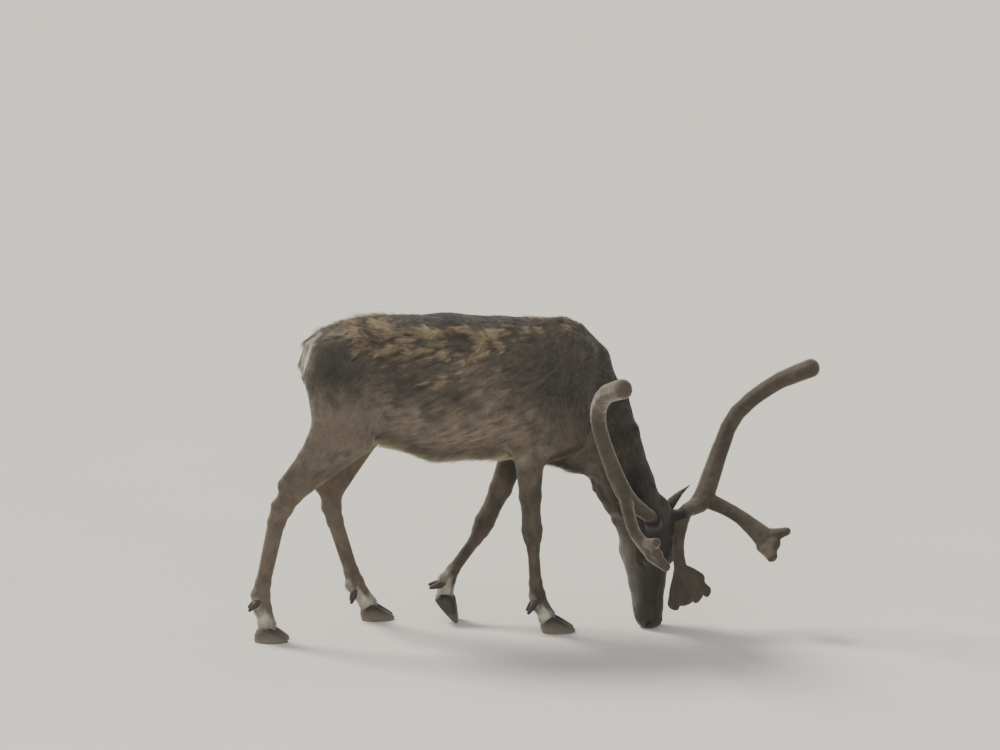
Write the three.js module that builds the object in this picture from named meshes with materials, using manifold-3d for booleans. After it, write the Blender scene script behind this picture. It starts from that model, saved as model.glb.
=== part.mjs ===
// A reindeer bull in summer coat with its antlers in velvet, grazing: a still model at life size.
// It stands on its four feet and on the flat end of its muzzle.
// Millimetres. x runs forward, y to the animal's own left, z up from the floor.
import * as THREE from "three";
import { mergeVertices } from "three/addons/utils/BufferGeometryUtils.js";
import Module from "manifold-3d";

const wasm = await Module();
wasm.setup();

// Driving sizes of the whole animal.
const GAP = 0.3;
const PEDICLES = new THREE.Vector3(726, -99, 381);
const HEAD_TURN = THREE.MathUtils.degToRad(55);
const NOSE_FORWARD = THREE.MathUtils.degToRad(6.5);
const NOSE_RIGHT = THREE.MathUtils.degToRad(5.7);
const CLAW = { length: 114, width: 46, height: 58 };
const DEWCLAW_RADIUS = 12.5;
const EYE_RADIUS = 18;
const EAR = { length: 132, width: 58, wall: 6 };
const CENTRE_OF_BOX = new THREE.Vector3(272, -158, 0);

// Faceting: the size of the cells that the skin of each stretch is drawn with.
const CELL = { torso: [47, 40, 42], neck: [34, 31, 38], head: [19, 18, 19] };
const LEG_FACETS = 12;
const LEG_REACH = 9;
const TORSO_FLOOR = 478;
// How softly one span of a chain runs into the next.
const KNIT = 14;

const SIDES = { left: 1, right: -1 };
const UP = new THREE.Vector3(0, 0, 1);
const LEFT = new THREE.Vector3(0, 1, 0);
const vec = (x, y, z) => new THREE.Vector3(x, y, z);
const mix = (a, b, t) => a + (b - a) * t;

// The head hangs nose down. It is turned to the right, with the nose swung a little forward and to
// the right as well. Its own frame has its origin between the pedicles: dorsal out of the forehead,
// back from the nose to the poll, and the animal's left.
const HEAD = (() => {
  const forehead = vec(Math.cos(HEAD_TURN), -Math.sin(HEAD_TURN), 0);
  const flank = vec(Math.sin(HEAD_TURN), Math.cos(HEAD_TURN), 0);
  const back = UP.clone().addScaledVector(forehead, -Math.tan(NOSE_FORWARD))
    .addScaledVector(flank, Math.tan(NOSE_RIGHT)).normalize();
  const dorsal = forehead.addScaledVector(back, -forehead.dot(back)).normalize();
  return { origin: PEDICLES, dorsal, back, left: back.clone().cross(dorsal) };
})();

function headPoint(dorsal, back, left) {
  return HEAD.origin.clone()
    .addScaledVector(HEAD.dorsal, dorsal)
    .addScaledVector(HEAD.back, back)
    .addScaledVector(HEAD.left, left);
}

function headDirection(dorsal, back, left) {
  return headPoint(dorsal, back, left).sub(HEAD.origin).normalize();
}

// Flesh is a smooth union of chains. A chain follows a row of joints, and each span between two of
// them is a bone with its muscle: an elliptic rod that tapers from one size to the next.
// A joint is its place, then the half width across and the half depth.
function span(from, to, across) {
  const axis = to.at.clone().sub(from.at);
  const length = axis.length();
  axis.divideScalar(length);
  const side = across.clone().addScaledVector(axis, -across.dot(axis)).normalize();
  const deep = axis.clone().cross(side);
  return { start: from.at, axis, side, deep, length, from: from.size, to: to.size };
}

function chain(blend, joints, place = vec, across = LEFT) {
  const stations = joints.map(([x, y, z, width, depth]) => ({ at: place(x, y, z), size: [width, depth] }));
  return { blend, spans: stations.slice(1).map((end, i) => span(stations[i], end, across)) };
}

function spanDistance(s, p) {
  const px = p.x - s.start.x;
  const py = p.y - s.start.y;
  const pz = p.z - s.start.z;
  const along = px * s.axis.x + py * s.axis.y + pz * s.axis.z;
  const t = Math.min(Math.max(along / s.length, 0), 1);
  const w = mix(s.from[0], s.to[0], t);
  const d = mix(s.from[1], s.to[1], t);
  const e = Math.min(w, d);
  const beyond = along - t * s.length;
  const across = px * s.side.x + py * s.side.y + pz * s.side.z;
  const deep = px * s.deep.x + py * s.deep.y + pz * s.deep.z;
  const k0 = Math.hypot(across / w, deep / d, beyond / e);
  const k1 = Math.hypot(across / (w * w), deep / (d * d), beyond / (e * e));
  return k1 < 1e-9 ? -e : k0 * (k0 - 1) / k1;
}

function smoothMin(a, b, k) {
  const h = Math.max(k - Math.abs(a - b), 0) / k;
  return Math.min(a, b) - h * h * k / 4;
}

function flesh(chains) {
  return (p) => chains.reduce((whole, { blend, spans }) => {
    const d = spans.reduce((least, s) => smoothMin(least, spanDistance(s, p), KNIT), Infinity);
    return whole === Infinity ? d : smoothMin(whole, d, blend);
  }, Infinity);
}

// Trunk from the croup to the chest, with the withers and the brisket.
const trunk = [
  chain(0, [
    [-412, 0, 944, 106, 128], [-330, 0, 905, 146, 190], [-190, 0, 870, 174, 230],
    [-40, 0, 845, 188, 256], [150, 0, 839, 178, 247], [300, 0, 828, 148, 236], [372, 0, 800, 112, 214],
  ]),
  chain(50, [[240, 0, 980, 66, 86], [380, 0, 988, 56, 92], [452, 0, 906, 58, 88]]),
  chain(60, [[320, 0, 720, 108, 130], [440, 0, 648, 84, 116]]),
];

// Neck: deep at the shoulder, and twisted to the right on its way down to the head.
const NECK_TWIST = THREE.MathUtils.degToRad(30);
const neck = [
  chain(50, [[388, 0, 826, 108, 174], [462, -6, 735, 98, 144], [525, -14, 641, 86, 120], [585, -26, 491, 68, 102]]),
  chain(40, [
    [582, -26, 491, 68, 102], [606, -22, 440, 64, 104], [634, -15, 390, 60, 103], [660, -8, 350, 58, 94],
  ], vec, vec(Math.sin(NECK_TWIST), Math.cos(NECK_TWIST), 0)),
];

// Shoulders, then the legs, each from its top joint down to the pastern.
const limbs = [];
for (const side of [-1, 1]) {
  limbs.push(
    chain(45, [
      [400, side * 58, 990, 38, 66], [350, side * 106, 830, 52, 86],
      [384, side * 108, 715, 50, 76], [246, side * 116, 640, 44, 58],
    ]),
    chain(50, [[-330, side * 88, 985, 50, 66], [-436, side * 72, 960, 44, 62]]),
  );
}
const LEG_JOINTS = {
  fore_right: [
    [246, -120, 622, 44, 60], [250, -108, 480, 33, 40], [255, -101, 395, 28, 32],
    [257, -100, 360, 31, 36], [259, -98, 330, 28, 31], [262, -96, 292, 19, 22],
    [270, -91, 170, 18.5, 23], [276, -90, 128, 26, 28], [290, -90, 88, 26, 26], [308, -91, 54, 36, 32],
  ],
  fore_left: [
    [224, 120, 605, 44, 58], [168, 111, 455, 33, 40], [128, 103, 372, 28, 32],
    [112, 99, 342, 31, 35], [97, 94, 312, 28, 30], [80, 89, 282, 19, 22],
    [0, 76, 178, 18.5, 22], [-18, 71, 146, 26, 27], [-26, 67, 112, 26, 26], [-32, 62, 82, 35, 29],
  ],
  hind_right: [
    [-392, -86, 900, 68, 112], [-348, -120, 714, 52, 86], [-560, -122, 508, 27, 38],
    [-590, -123, 460, 23, 34], [-608, -124, 412, 20.5, 26], [-656, -129, 200, 19, 22],
    [-664, -130, 160, 26, 29], [-660, -132, 112, 25, 27], [-652, -134, 62, 36, 32],
  ],
  hind_left: [
    [-388, 86, 895, 68, 112], [-292, 120, 690, 52, 78], [-418, 122, 450, 27, 39],
    [-416, 122, 400, 23, 33], [-403, 122, 350, 20.5, 26], [-346, 122, 168, 19, 22],
    [-335, 122, 130, 26, 29], [-318, 123, 94, 25, 27], [-294, 125, 56, 36, 32],
  ],
};
const leg = Object.entries(LEG_JOINTS).map(([name, joints]) => chain(name.startsWith("fore") ? 30 : 40, joints));
const hamstrings = [
  chain(40, [[-452, -74, 905, 48, 60], [-450, -104, 738, 38, 46], [-518, -113, 640, 18, 22], [-592, -122, 545, 17, 19]]),
  chain(40, [[-452, 74, 905, 48, 60], [-400, 106, 708, 38, 48], [-432, 114, 588, 18, 24], [-462, 122, 480, 17, 19]]),
];

// Skull and jaw, cheeks and brows, in the frame of the head: dorsal, toward the nose and left.
const headChain = (blend, joints) => chain(
  blend, joints, (dorsal, fore, left) => headPoint(dorsal, -fore, left), HEAD.left);
const head = [
  headChain(40, [
    [-74, -14, 0, 64, 70], [-98, 60, 0, 73, 96], [-96, 122, 0, 69, 88],
    [-97, 215, 0, 50, 62], [-98, 300, 0, 48, 50], [-96, 336, 0, 48, 47],
  ]),
  headChain(26, [
    [-170, 22, 0, 56, 56], [-170, 112, 0, 53, 54], [-146, 225, 0, 38, 36], [-128, 330, 0, 31, 25],
  ]),
];
for (const side of [-1, 1]) {
  head.push(
    headChain(30, [[-124, 30, side * 42, 24, 60], [-112, 136, side * 42, 16, 36]]),
    headChain(22, [[-36, 90, side * 50, 20, 24], [-44, 128, side * 51, 18, 20]]),
  );
}

const body = flesh([...trunk, ...neck, ...limbs, ...leg, ...hamstrings, ...head]);

// Solids from closed meshes, and the few joins and cuts that they need.
function solid(geometry) {
  const plain = geometry.clone();
  plain.deleteAttribute("normal");
  plain.deleteAttribute("uv");
  const merged = mergeVertices(plain, 1e-4);
  return new wasm.Manifold(new wasm.Mesh({
    numProp: 3,
    vertProperties: new Float32Array(merged.attributes.position.array),
    triVerts: new Uint32Array(merged.index.array),
  }));
}

// The mesh of a solid, with points that a cut has left closer than a micrometre made one.
const WELD = 1e-3;
function geometryOf(manifold) {
  const mesh = manifold.getMesh();
  const geometry = new THREE.BufferGeometry();
  const position = new Float32Array(mesh.numVert * 3);
  for (let i = 0; i < mesh.numVert; i += 1) {
    for (let k = 0; k < 3; k += 1) {
      position[3 * i + k] = mesh.vertProperties[mesh.numProp * i + k];
    }
  }
  geometry.setAttribute("position", new THREE.BufferAttribute(position, 3));
  geometry.setIndex(new THREE.BufferAttribute(new Uint32Array(mesh.triVerts), 1));
  const welded = mergeVertices(geometry, WELD);
  const index = welded.index.array;
  const faces = [];
  for (let i = 0; i < index.length; i += 3) {
    const [a, b, c] = index.slice(i, i + 3);
    if (a !== b && b !== c && c !== a) faces.push(a, b, c);
  }
  welded.setIndex(faces);
  return welded;
}

function largest(manifold) {
  const parts = manifold.decompose();
  return parts.reduce((best, part) => (part.volume() > best.volume() ? part : best));
}

function bent(points, faces) {
  const geometry = new THREE.BufferGeometry();
  geometry.setAttribute("position", new THREE.Float32BufferAttribute(points.flatMap((p) => p.toArray()), 3));
  geometry.setIndex(faces);
  return geometry;
}

// A solid with its faces turned outward, whichever way round they were listed.
function outward(points, faces) {
  const made = solid(bent(points, faces));
  return made.volume() > 0 ? made : solid(bent(points, faces.reverse()));
}

// A loft through rings of equal count. Each end is closed with a fan, or with a strip between the
// two halves of the ring where that is a crescent.
function loft(rings, crescent = false) {
  const count = rings[0].length;
  const points = rings.flat();
  const faces = [];
  for (let i = 0; i + 1 < rings.length; i += 1) {
    for (let j = 0; j < count; j += 1) {
      const a = i * count + j;
      const b = i * count + (j + 1) % count;
      faces.push(a, b, b + count, a, b + count, a + count);
    }
  }
  const last = (rings.length - 1) * count;
  if (crescent) {
    for (let j = 0; j + 1 < count / 2; j += 1) {
      const across = count - 1 - j;
      faces.push(j, across, across - 1, j, across - 1, j + 1);
      faces.push(last + j, last + across - 1, last + across, last + j, last + j + 1, last + across - 1);
    }
  } else {
    const [first, end] = [rings[0], rings[rings.length - 1]].map((ring) => points.push(
      ring.reduce((sum, p) => sum.add(p), vec(0, 0, 0)).divideScalar(count),
    ) - 1);
    for (let j = 0; j < count; j += 1) {
      faces.push(first, (j + 1) % count, j, end, last + j, last + (j + 1) % count);
    }
  }
  return outward(points, faces);
}

// Everything beyond a plane, as a block far larger than the animal.
const BLOCK = 5000;
function beyond(point, normal, offset = 0) {
  const geometry = new THREE.BoxGeometry(BLOCK, BLOCK, BLOCK);
  geometry.translate(0, 0, BLOCK / 2 + offset);
  geometry.applyQuaternion(new THREE.Quaternion().setFromUnitVectors(UP, normal.clone().normalize()));
  geometry.translate(point.x, point.y, point.z);
  return solid(geometry);
}

function block(low, high) {
  const size = high.clone().sub(low);
  const geometry = new THREE.BoxGeometry(size.x, size.y, size.z);
  geometry.translate((low.x + high.x) / 2, (low.y + high.y) / 2, (low.z + high.z) / 2);
  return solid(geometry);
}

const FLOOR = beyond(vec(0, 0, 0), UP);

// The skin of a field inside a box of its own frame: one corner point in each cell that the
// surface crosses, drawn onto the surface, and two triangles for each grid edge that crosses it.
function skin(field, frame, low, high, step, grow = 0) {
  const size = [0, 1, 2].map((k) => Math.ceil((high[k] - low[k]) / step[k]) + 3);
  const world = (x, y, z) => frame.origin.clone()
    .addScaledVector(frame.x, x).addScaledVector(frame.y, y).addScaledVector(frame.z, z);
  const corner = (i, k) => low[k] + (i - 1) * step[k];
  const value = (x, y, z) => {
    const wall = Math.max(low[0] - x, x - high[0], low[1] - y, y - high[1], low[2] - z, z - high[2]);
    return Math.max(field(world(x, y, z)) - grow, wall);
  };
  const at = (i, j, k) => (k * size[1] + j) * size[0] + i;
  const samples = new Float64Array(size[0] * size[1] * size[2]);
  for (let k = 0; k < size[2]; k += 1) {
    for (let j = 0; j < size[1]; j += 1) {
      for (let i = 0; i < size[0]; i += 1) {
        samples[at(i, j, k)] = value(corner(i, 0), corner(j, 1), corner(k, 2));
      }
    }
  }
  const EDGES = [
    [0, 1], [2, 3], [4, 5], [6, 7], [0, 2], [1, 3], [4, 6], [5, 7], [0, 4], [1, 5], [2, 6], [3, 7],
  ];
  const onSurface = (x, y, z) => {
    const h = 0.5;
    const point = [x, y, z];
    for (let round = 0; round < 3; round += 1) {
      const [a, b, c] = point;
      const f = value(a, b, c);
      const g = [
        (value(a + h, b, c) - value(a - h, b, c)) / (2 * h),
        (value(a, b + h, c) - value(a, b - h, c)) / (2 * h),
        (value(a, b, c + h) - value(a, b, c - h)) / (2 * h),
      ];
      const scale = f / Math.max(g[0] * g[0] + g[1] * g[1] + g[2] * g[2], 0.3);
      const reach = Math.min(...step) / 3;
      const move = Math.max(-reach, Math.min(reach, scale));
      g.forEach((slope, n) => {
        point[n] -= move * slope;
      });
    }
    return point;
  };
  const index = new Int32Array(samples.length).fill(-1);
  const points = [];
  for (let k = 0; k + 1 < size[2]; k += 1) {
    for (let j = 0; j + 1 < size[1]; j += 1) {
      for (let i = 0; i + 1 < size[0]; i += 1) {
        const f = [];
        for (let n = 0; n < 8; n += 1) {
          f.push(samples[at(i + (n & 1), j + ((n >> 1) & 1), k + (n >> 2))]);
        }
        const sum = [0, 0, 0];
        let crossings = 0;
        for (const [a, b] of EDGES) {
          if ((f[a] < 0) === (f[b] < 0)) continue;
          const t = f[a] / (f[a] - f[b]);
          for (let n = 0; n < 3; n += 1) {
            sum[n] += mix((a >> n) & 1, (b >> n) & 1, t);
          }
          crossings += 1;
        }
        if (!crossings) continue;
        const local = [i, j, k].map((c, n) => corner(c, n) + sum[n] / crossings * step[n]);
        index[at(i, j, k)] = points.length;
        points.push(world(...onSurface(...local)));
      }
    }
  }
  const faces = [];
  const quad = (a, b, c, d, flip) => {
    const [p, q, r, s] = [a, b, c, d].map((n) => points[n]);
    const short = p.distanceTo(r) < q.distanceTo(s);
    const turns = short ? [a, b, c, a, c, d] : [b, c, d, b, d, a];
    faces.push(...(flip ? turns.reverse() : turns));
  };
  for (let k = 1; k + 1 < size[2]; k += 1) {
    for (let j = 1; j + 1 < size[1]; j += 1) {
      for (let i = 1; i + 1 < size[0]; i += 1) {
        const inside = samples[at(i, j, k)] < 0;
        const v = (a, b, c) => index[at(i - a, j - b, k - c)];
        if (inside !== samples[at(i + 1, j, k)] < 0) quad(v(0, 0, 0), v(0, 1, 0), v(0, 1, 1), v(0, 0, 1), !inside);
        if (inside !== samples[at(i, j + 1, k)] < 0) quad(v(0, 0, 0), v(0, 0, 1), v(1, 0, 1), v(1, 0, 0), !inside);
        if (inside !== samples[at(i, j, k + 1)] < 0) quad(v(0, 0, 0), v(1, 0, 0), v(1, 1, 0), v(0, 1, 0), !inside);
      }
    }
  }
  return outward(points, faces);
}

// Goes out from a point inside until the flesh ends.
function surfaceFrom(point, direction, field = body) {
  let reach = 0;
  for (let step = 16; step > 0.1; step /= 2) {
    while (field(point.clone().addScaledVector(direction, reach + step)) < 0) reach += step;
  }
  return point.clone().addScaledVector(direction, reach);
}

// The skin of a leg: rings square to the bones, with points on the flesh no further out than the
// reach beyond the limb itself, and between upright walls.
function sleeve(places, limb, low, high) {
  const route = new THREE.CatmullRomCurve3(places, false, "catmullrom", 0.5);
  const own = (p) => Math.max(body(p), limb(p) - LEG_REACH, low.y - p.y, p.y - high.y);
  const last = 2 * (places.length - 1);
  return loft(Array.from({ length: last + 1 }, (_, i) => {
    const centre = route.getPoint(i / last);
    const tangent = route.getTangent(i / last);
    const side = LEFT.clone().addScaledVector(tangent, -LEFT.dot(tangent)).normalize();
    const deep = tangent.clone().cross(side);
    return Array.from({ length: LEG_FACETS }, (_, j) => {
      const turn = 2 * Math.PI * j / LEG_FACETS;
      const direction = side.clone().multiplyScalar(Math.cos(turn)).addScaledVector(deep, Math.sin(turn));
      return surfaceFrom(centre, direction, own);
    });
  }));
}

const WORLD = { origin: vec(0, 0, 0), x: vec(1, 0, 0), y: vec(0, 1, 0), z: UP };
const HEAD_BOX = { origin: HEAD.origin, x: HEAD.dorsal, y: HEAD.left, z: HEAD.back };

// A tapering rod along a smooth curve. Each stop is a place with a half width and a half
// thickness, and the width lies across the given direction. Both ends are rounded.
function rod(stops, thin, sides, rings, grow = 0) {
  const route = new THREE.CatmullRomCurve3(stops.map((s) => s.at), false, "catmullrom", 0.5);
  const girth = new THREE.CatmullRomCurve3(stops.map((s) => vec(s.size[0], s.size[1], 0)), false, "catmullrom", 0.5);
  const ROUNDING = [0.5, 0.87];
  const ring = (centre, tangent, width, thickness) => {
    const flat = thin.clone().addScaledVector(tangent, -thin.dot(tangent)).normalize();
    const wide = flat.clone().cross(tangent);
    return Array.from({ length: sides }, (_, j) => {
      const turn = 2 * Math.PI * j / sides;
      return centre.clone()
        .addScaledVector(wide, -(width + grow) * Math.cos(turn))
        .addScaledVector(flat, (thickness + grow) * Math.sin(turn));
    });
  };
  const cap = (u, sign) => ROUNDING.map((r) => {
    const size = girth.getPoint(u);
    const tangent = route.getTangent(u);
    const reach = Math.min(size.x, size.y) + grow;
    const shrink = Math.sqrt(1 - r * r);
    const centre = route.getPoint(u).addScaledVector(tangent, sign * r * reach);
    return ring(centre, tangent, (size.x + grow) * shrink - grow, (size.y + grow) * shrink - grow);
  });
  const middle = Array.from({ length: rings + 1 }, (_, i) => {
    const u = i / rings;
    const size = girth.getPoint(u);
    return ring(route.getPoint(u), route.getTangent(u), size.x, size.y);
  });
  return loft([...cap(0, -1).reverse(), ...middle, ...cap(1, 1)]);
}

// Antlers, in the frame of the head. The beam rises from the pedicle to the fork of the bez tine,
// runs back and out to a bend and then sweeps forward. The bez tine ends in a small palm with two
// knobs. The left antler alone has a brow shovel. The right antler stands a little further back
// than the left.
const stop = (dorsal, back, left, width, thickness) => ({
  at: headPoint(dorsal, back, left), size: [width, thickness],
});
const ANTLER_LEAN = { left: -16, right: 16 };
const COLLAR = [9, 9, 10];
const together = (solids) => solids.reduce((whole, piece) => whole.add(piece));

// The shovel is a fan of flat lobes near the middle plane of the head, grown together.
const SHOVEL_ROOT = [36, -168];
const SHOVEL_LOBES = [
  { tip: [146, -196], width: 28 }, { tip: [178, -230], width: 22 },
  { tip: [134, -250], width: 34 }, { tip: [68, -276], width: 38 }, { tip: [6, -296], width: 30 },
];

const browTine = (grow) => together([
  rod([
    stop(-12, 34, 94, 22, 20), stop(2, -8, 64, 23, 20), stop(8, -52, 44, 24, 18),
    stop(16, -104, 30, 24, 17), stop(44, -178, 20, 32, 15),
  ], HEAD.left, 8, 6, grow),
  ...SHOVEL_LOBES.map(({ tip, width }) => rod([
    stop(...SHOVEL_ROOT, 22, width, 13),
    stop(mix(SHOVEL_ROOT[0], tip[0], 0.55), mix(SHOVEL_ROOT[1], tip[1], 0.55), 20, width + 4, 12),
    stop(...tip, 18, width, 12),
  ], HEAD.left, 8, 2, grow)),
]);

function antler(name, grow = 0) {
  const side = SIDES[name];
  const lean = ANTLER_LEAN[name];
  const s = (dorsal, back, out, width, thickness, share = 1) => stop(
    dorsal, back + lean * share, side * out, width, thickness);
  const root = [s(-34, -26, 36, 25, 23, 0), s(-8, 8, 66, 25, 23, 0), s(-10, 30, 98, 27, 24, 0)];
  const thinBeam = headDirection(0.25, 0.45, -0.85 * side);
  const beam = rod([
    ...root,
    s(-22, 78, 178, 40, 29),
    s(-29, 226, 258, 34, 25),
    s(-8, 356, 319, 31, 25, 0.5),
    s(102, 452, 390, 31, 26, -0.3),
    s(246, 500, 434, 35, 31, -1.2),
  ], thinBeam, 9, 18, grow);
  // The skin of the skull rises in a collar round the root of the beam.
  const collar = rod(
    root.map(({ at, size }, i) => ({ at, size: size.map((half) => half + COLLAR[i]) })), thinBeam, 9, 4);
  const thinTine = headDirection(0.3, 0.35, -0.88 * side);
  const bez = together([
    rod([
      s(-20, 76, 178, 30, 26, 0.6),
      s(30, 42, 212, 27, 22, 0),
      s(100, -8, 246, 26, 20, -0.8),
      s(204, -72, 266, 40, 18, -0.5),
    ], thinTine, 9, 6, grow),
    rod([s(190, -52, 270, 26, 18, 0), s(240, -44, 290, 22, 17, 0), s(268, -34, 302, 16, 15, 0)], thinTine, 8, 2, grow),
    rod([s(190, -70, 266, 30, 18, 0), s(246, -80, 272, 26, 16, 0)], thinTine, 8, 1, grow),
    rod([s(190, -82, 262, 30, 18, 0), s(236, -104, 256, 28, 17, 0), s(256, -122, 246, 21, 15, 0)], thinTine, 8, 2, grow),
  ]);
  return name === "left" ? { beam, collar, bez, brow: browTine(grow) } : { beam, collar, bez };
}

// A cut is a plane. What lies behind and beyond it is parted by the gap.
const cut = (point, normal) => ({
  behind: beyond(point, normal.clone().negate(), GAP / 2),
  ahead: beyond(point, normal, GAP / 2),
});

// Feet. A toe is where the claws reach the floor, a heading turns the foot about the upright,
// and a pitch lifts its heel. Dewclaws are set behind the fetlock, and the last two numbers say
// how far back and down their tips reach from it.
const FEET = {
  fore_right: { toe: vec(404, -92, 0), heading: 2, pitch: 0, fetlock: vec(277, -90, 118), dewclaw: [-34, -50] },
  fore_left: { toe: vec(8, 58, -4), heading: -6, pitch: 50, fetlock: vec(-22, 69, 138), dewclaw: [-60, -14] },
  hind_right: { toe: vec(-578, -138, 0), heading: -8, pitch: 0, fetlock: vec(-665, -131, 152), dewclaw: [-46, -40] },
  hind_left: { toe: vec(-204, 126, 0), heading: 3, pitch: 0, fetlock: vec(-332, 122, 118), dewclaw: [-20, -56] },
};

// One claw, outer (1) or inner (-1) of its pair: a horn case with a flat sole, an upright wall
// that is highest near the coronet, and a blunt toe that curves in toward its neighbour.
function claw(foot, hand, grow = 0) {
  const RINGS = 7;
  const ARC = 5;
  const turn = new THREE.Matrix4()
    .makeRotationZ(THREE.MathUtils.degToRad(foot.heading))
    .multiply(new THREE.Matrix4().makeRotationY(THREE.MathUtils.degToRad(foot.pitch)))
    .setPosition(foot.toe);
  const rings = Array.from({ length: RINGS + 1 }, (_, i) => {
    const t = i / RINGS;
    const half = CLAW.width / 2 * (1 - ((t - 0.4) / 0.62) ** 4) ** 0.6 * Math.min(1, 0.62 + 2.5 * t) + grow;
    const rise = t < 0.35 ? mix(0.5, 1, Math.sin(Math.PI / 2 * t / 0.35)) : mix(1, 0.2, ((t - 0.35) / 0.65) ** 1.1);
    const height = CLAW.height * rise + grow;
    const middle = hand * (12 + 17 * Math.sin(Math.PI * (0.15 + 0.68 * t)));
    const x = (t - 1) * CLAW.length + (i === 0 ? -grow : 0) + (i === RINGS ? grow : 0);
    return Array.from({ length: ARC + 1 }, (_, j) => {
      const angle = Math.PI * j / ARC;
      const lift = Math.sin(angle) ** 0.75 * height - grow * (j === 0 || j === ARC ? 1 : 0);
      return vec(x, middle + half * Math.cos(angle), lift).applyMatrix4(turn);
    });
  });
  return loft(rings);
}

function dewclaw(foot, hand, grow = 0) {
  const [back, down] = foot.dewclaw;
  const at = (t, out, size) => ({
    at: foot.fetlock.clone().add(vec(back * t, hand * out, down * t)), size: [size, size * 0.8],
  });
  const r = DEWCLAW_RADIUS;
  return rod([at(0.05, 12, r), at(0.6, 19, r), at(1, 23, r * 0.55)], LEFT, 6, 2, grow);
}

// Tail: short and flat, hanging on the rump.
const tail = (grow = 0) => rod([
  { at: vec(-452, 0, 1034), size: [22, 14] },
  { at: vec(-490, 0, 1004), size: [27, 15] },
  { at: vec(-511, 0, 940), size: [26, 14] },
  { at: vec(-508, 0, 884), size: [15, 9] },
], vec(-1, 0, 0), 8, 5, grow);

// Ear: a leaf rolled into a cup on a short root sunk in the skull. The left ear is laid back, and
// the right one is held out, clear of the neck.
const EAR_ROOT = 8;
const EAR_LIE = { left: [0.12, 0.76, 0.64], right: [0.1, 0.5, -0.86] };
function ear(name, grow = 0) {
  const side = SIDES[name];
  const base = headPoint(-84, -2, side * 61);
  const axis = headDirection(...EAR_LIE[name]);
  const open = headDirection(0.6, -0.55, side * 0.35);
  open.addScaledVector(axis, -open.dot(axis)).normalize();
  const wide = axis.clone().cross(open);
  const RINGS = 7;
  const ARC = 5;
  const rings = Array.from({ length: RINGS + 1 }, (_, i) => {
    const s = i / RINGS;
    const half = EAR.width / 2 * Math.sin(Math.PI * (0.17 + 0.79 * s ** 0.85)) + grow;
    const roll = mix(2, 0.95, s);
    const radius = half / Math.sin(Math.min(roll, Math.PI / 2));
    const wall = mix(EAR.wall, EAR.wall / 2, s) + 2 * grow;
    const along = mix(EAR_ROOT - grow, EAR.length + grow, s);
    const centre = base.clone().addScaledVector(axis, along)
      .addScaledVector(open, radius * Math.cos(roll) * 0.5 + 4 * s * s);
    const arc = (r, order) => Array.from({ length: ARC + 1 }, (_, j) => {
      const angle = (roll + 2 * grow / radius) * mix(-1, 1, (order > 0 ? j : ARC - j) / ARC);
      return centre.clone().addScaledVector(wide, r * Math.sin(angle)).addScaledVector(open, -r * Math.cos(angle));
    });
    return [...arc(radius, 1), ...arc(radius - wall, -1)];
  });
  const cup = loft(rings, true);
  const root = rod([
    { at: base.clone().addScaledVector(axis, -16), size: [20, 20] },
    { at: base.clone().addScaledVector(axis, 16), size: [20, 20] },
  ], open, 10, 2, grow);
  return cup.add(root);
}

// Eye: a ball set in the side of the skull, with an opening between two lids.
const eyeOf = (side) => {
  const centre = headPoint(-50, -112, side * 54);
  const out = headDirection(0.22, -0.12, side * 0.96);
  const toNose = headDirection(0, -1, 0).addScaledVector(out, -headDirection(0, -1, 0).dot(out)).normalize();
  const above = out.clone().cross(toNose).multiplyScalar(side);
  if (above.dot(HEAD.dorsal) < 0) above.negate();
  return { centre, out, toNose, above };
};

function ball({ centre }, radius) {
  const geometry = new THREE.IcosahedronGeometry(radius, 2);
  geometry.translate(centre.x, centre.y, centre.z);
  return solid(geometry);
}

function lid({ centre, out, toNose, above }, opening) {
  const reach = EYE_RADIUS + 2.5;
  return rod(Array.from({ length: 7 }, (_, i) => {
    const angle = Math.PI * i / 6;
    const along = 18.5 * Math.cos(angle);
    const up = opening * Math.sin(angle);
    const height = Math.sqrt(reach * reach - along * along - up * up);
    return {
      at: centre.clone().addScaledVector(out, height).addScaledVector(toNose, along).addScaledVector(above, up),
      size: [5, 5.5],
    };
  }), out, 5, 6);
}

function slit({ centre, out, toNose, above }) {
  const ring = (height, along, up) => Array.from({ length: 12 }, (_, j) => {
    const angle = 2 * Math.PI * j / 12;
    return centre.clone().addScaledVector(out, height)
      .addScaledVector(toNose, along * Math.cos(angle)).addScaledVector(above, up * Math.sin(angle));
  });
  return loft([ring(6, 15, 8), ring(45, 30, 22)]);
}

// Mouth line and nostrils. The line runs from one corner round the front to the other, in the
// surface of the muzzle.
const mouth = () => rod(Array.from({ length: 9 }, (_, i) => {
  const angle = mix(-1, 1, i / 8) * Math.PI / 2;
  const inside = headPoint(-118, -mix(300, 352, Math.cos(angle)), 0);
  const at = surfaceFrom(inside, headDirection(0.02, -Math.cos(angle), Math.sin(angle)));
  return { at, size: [3, 5] };
}), HEAD.dorsal.clone().cross(HEAD.back), 5, 12);

const nostril = (side) => rod([
  { at: headPoint(-56, -380, side * 46), size: [15, 9] },
  { at: headPoint(-70, -356, side * 28), size: [13, 7] },
  { at: headPoint(-78, -342, side * 21), size: [8, 4] },
], HEAD.left, 8, 3);

const COLOUR = { coat: 0x57514a, face: 0x3f3a36, horn: 0x2c2a28, velvet: 0x6b6055, eye: 0x14100d };
const ROUGH = { coat: 0.9, face: 0.85, horn: 0.55, velvet: 0.95, eye: 0.1 };

const group = new THREE.Group();
const animal = new THREE.Group();
animal.position.copy(CENTRE_OF_BOX).negate();
group.add(animal);

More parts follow.
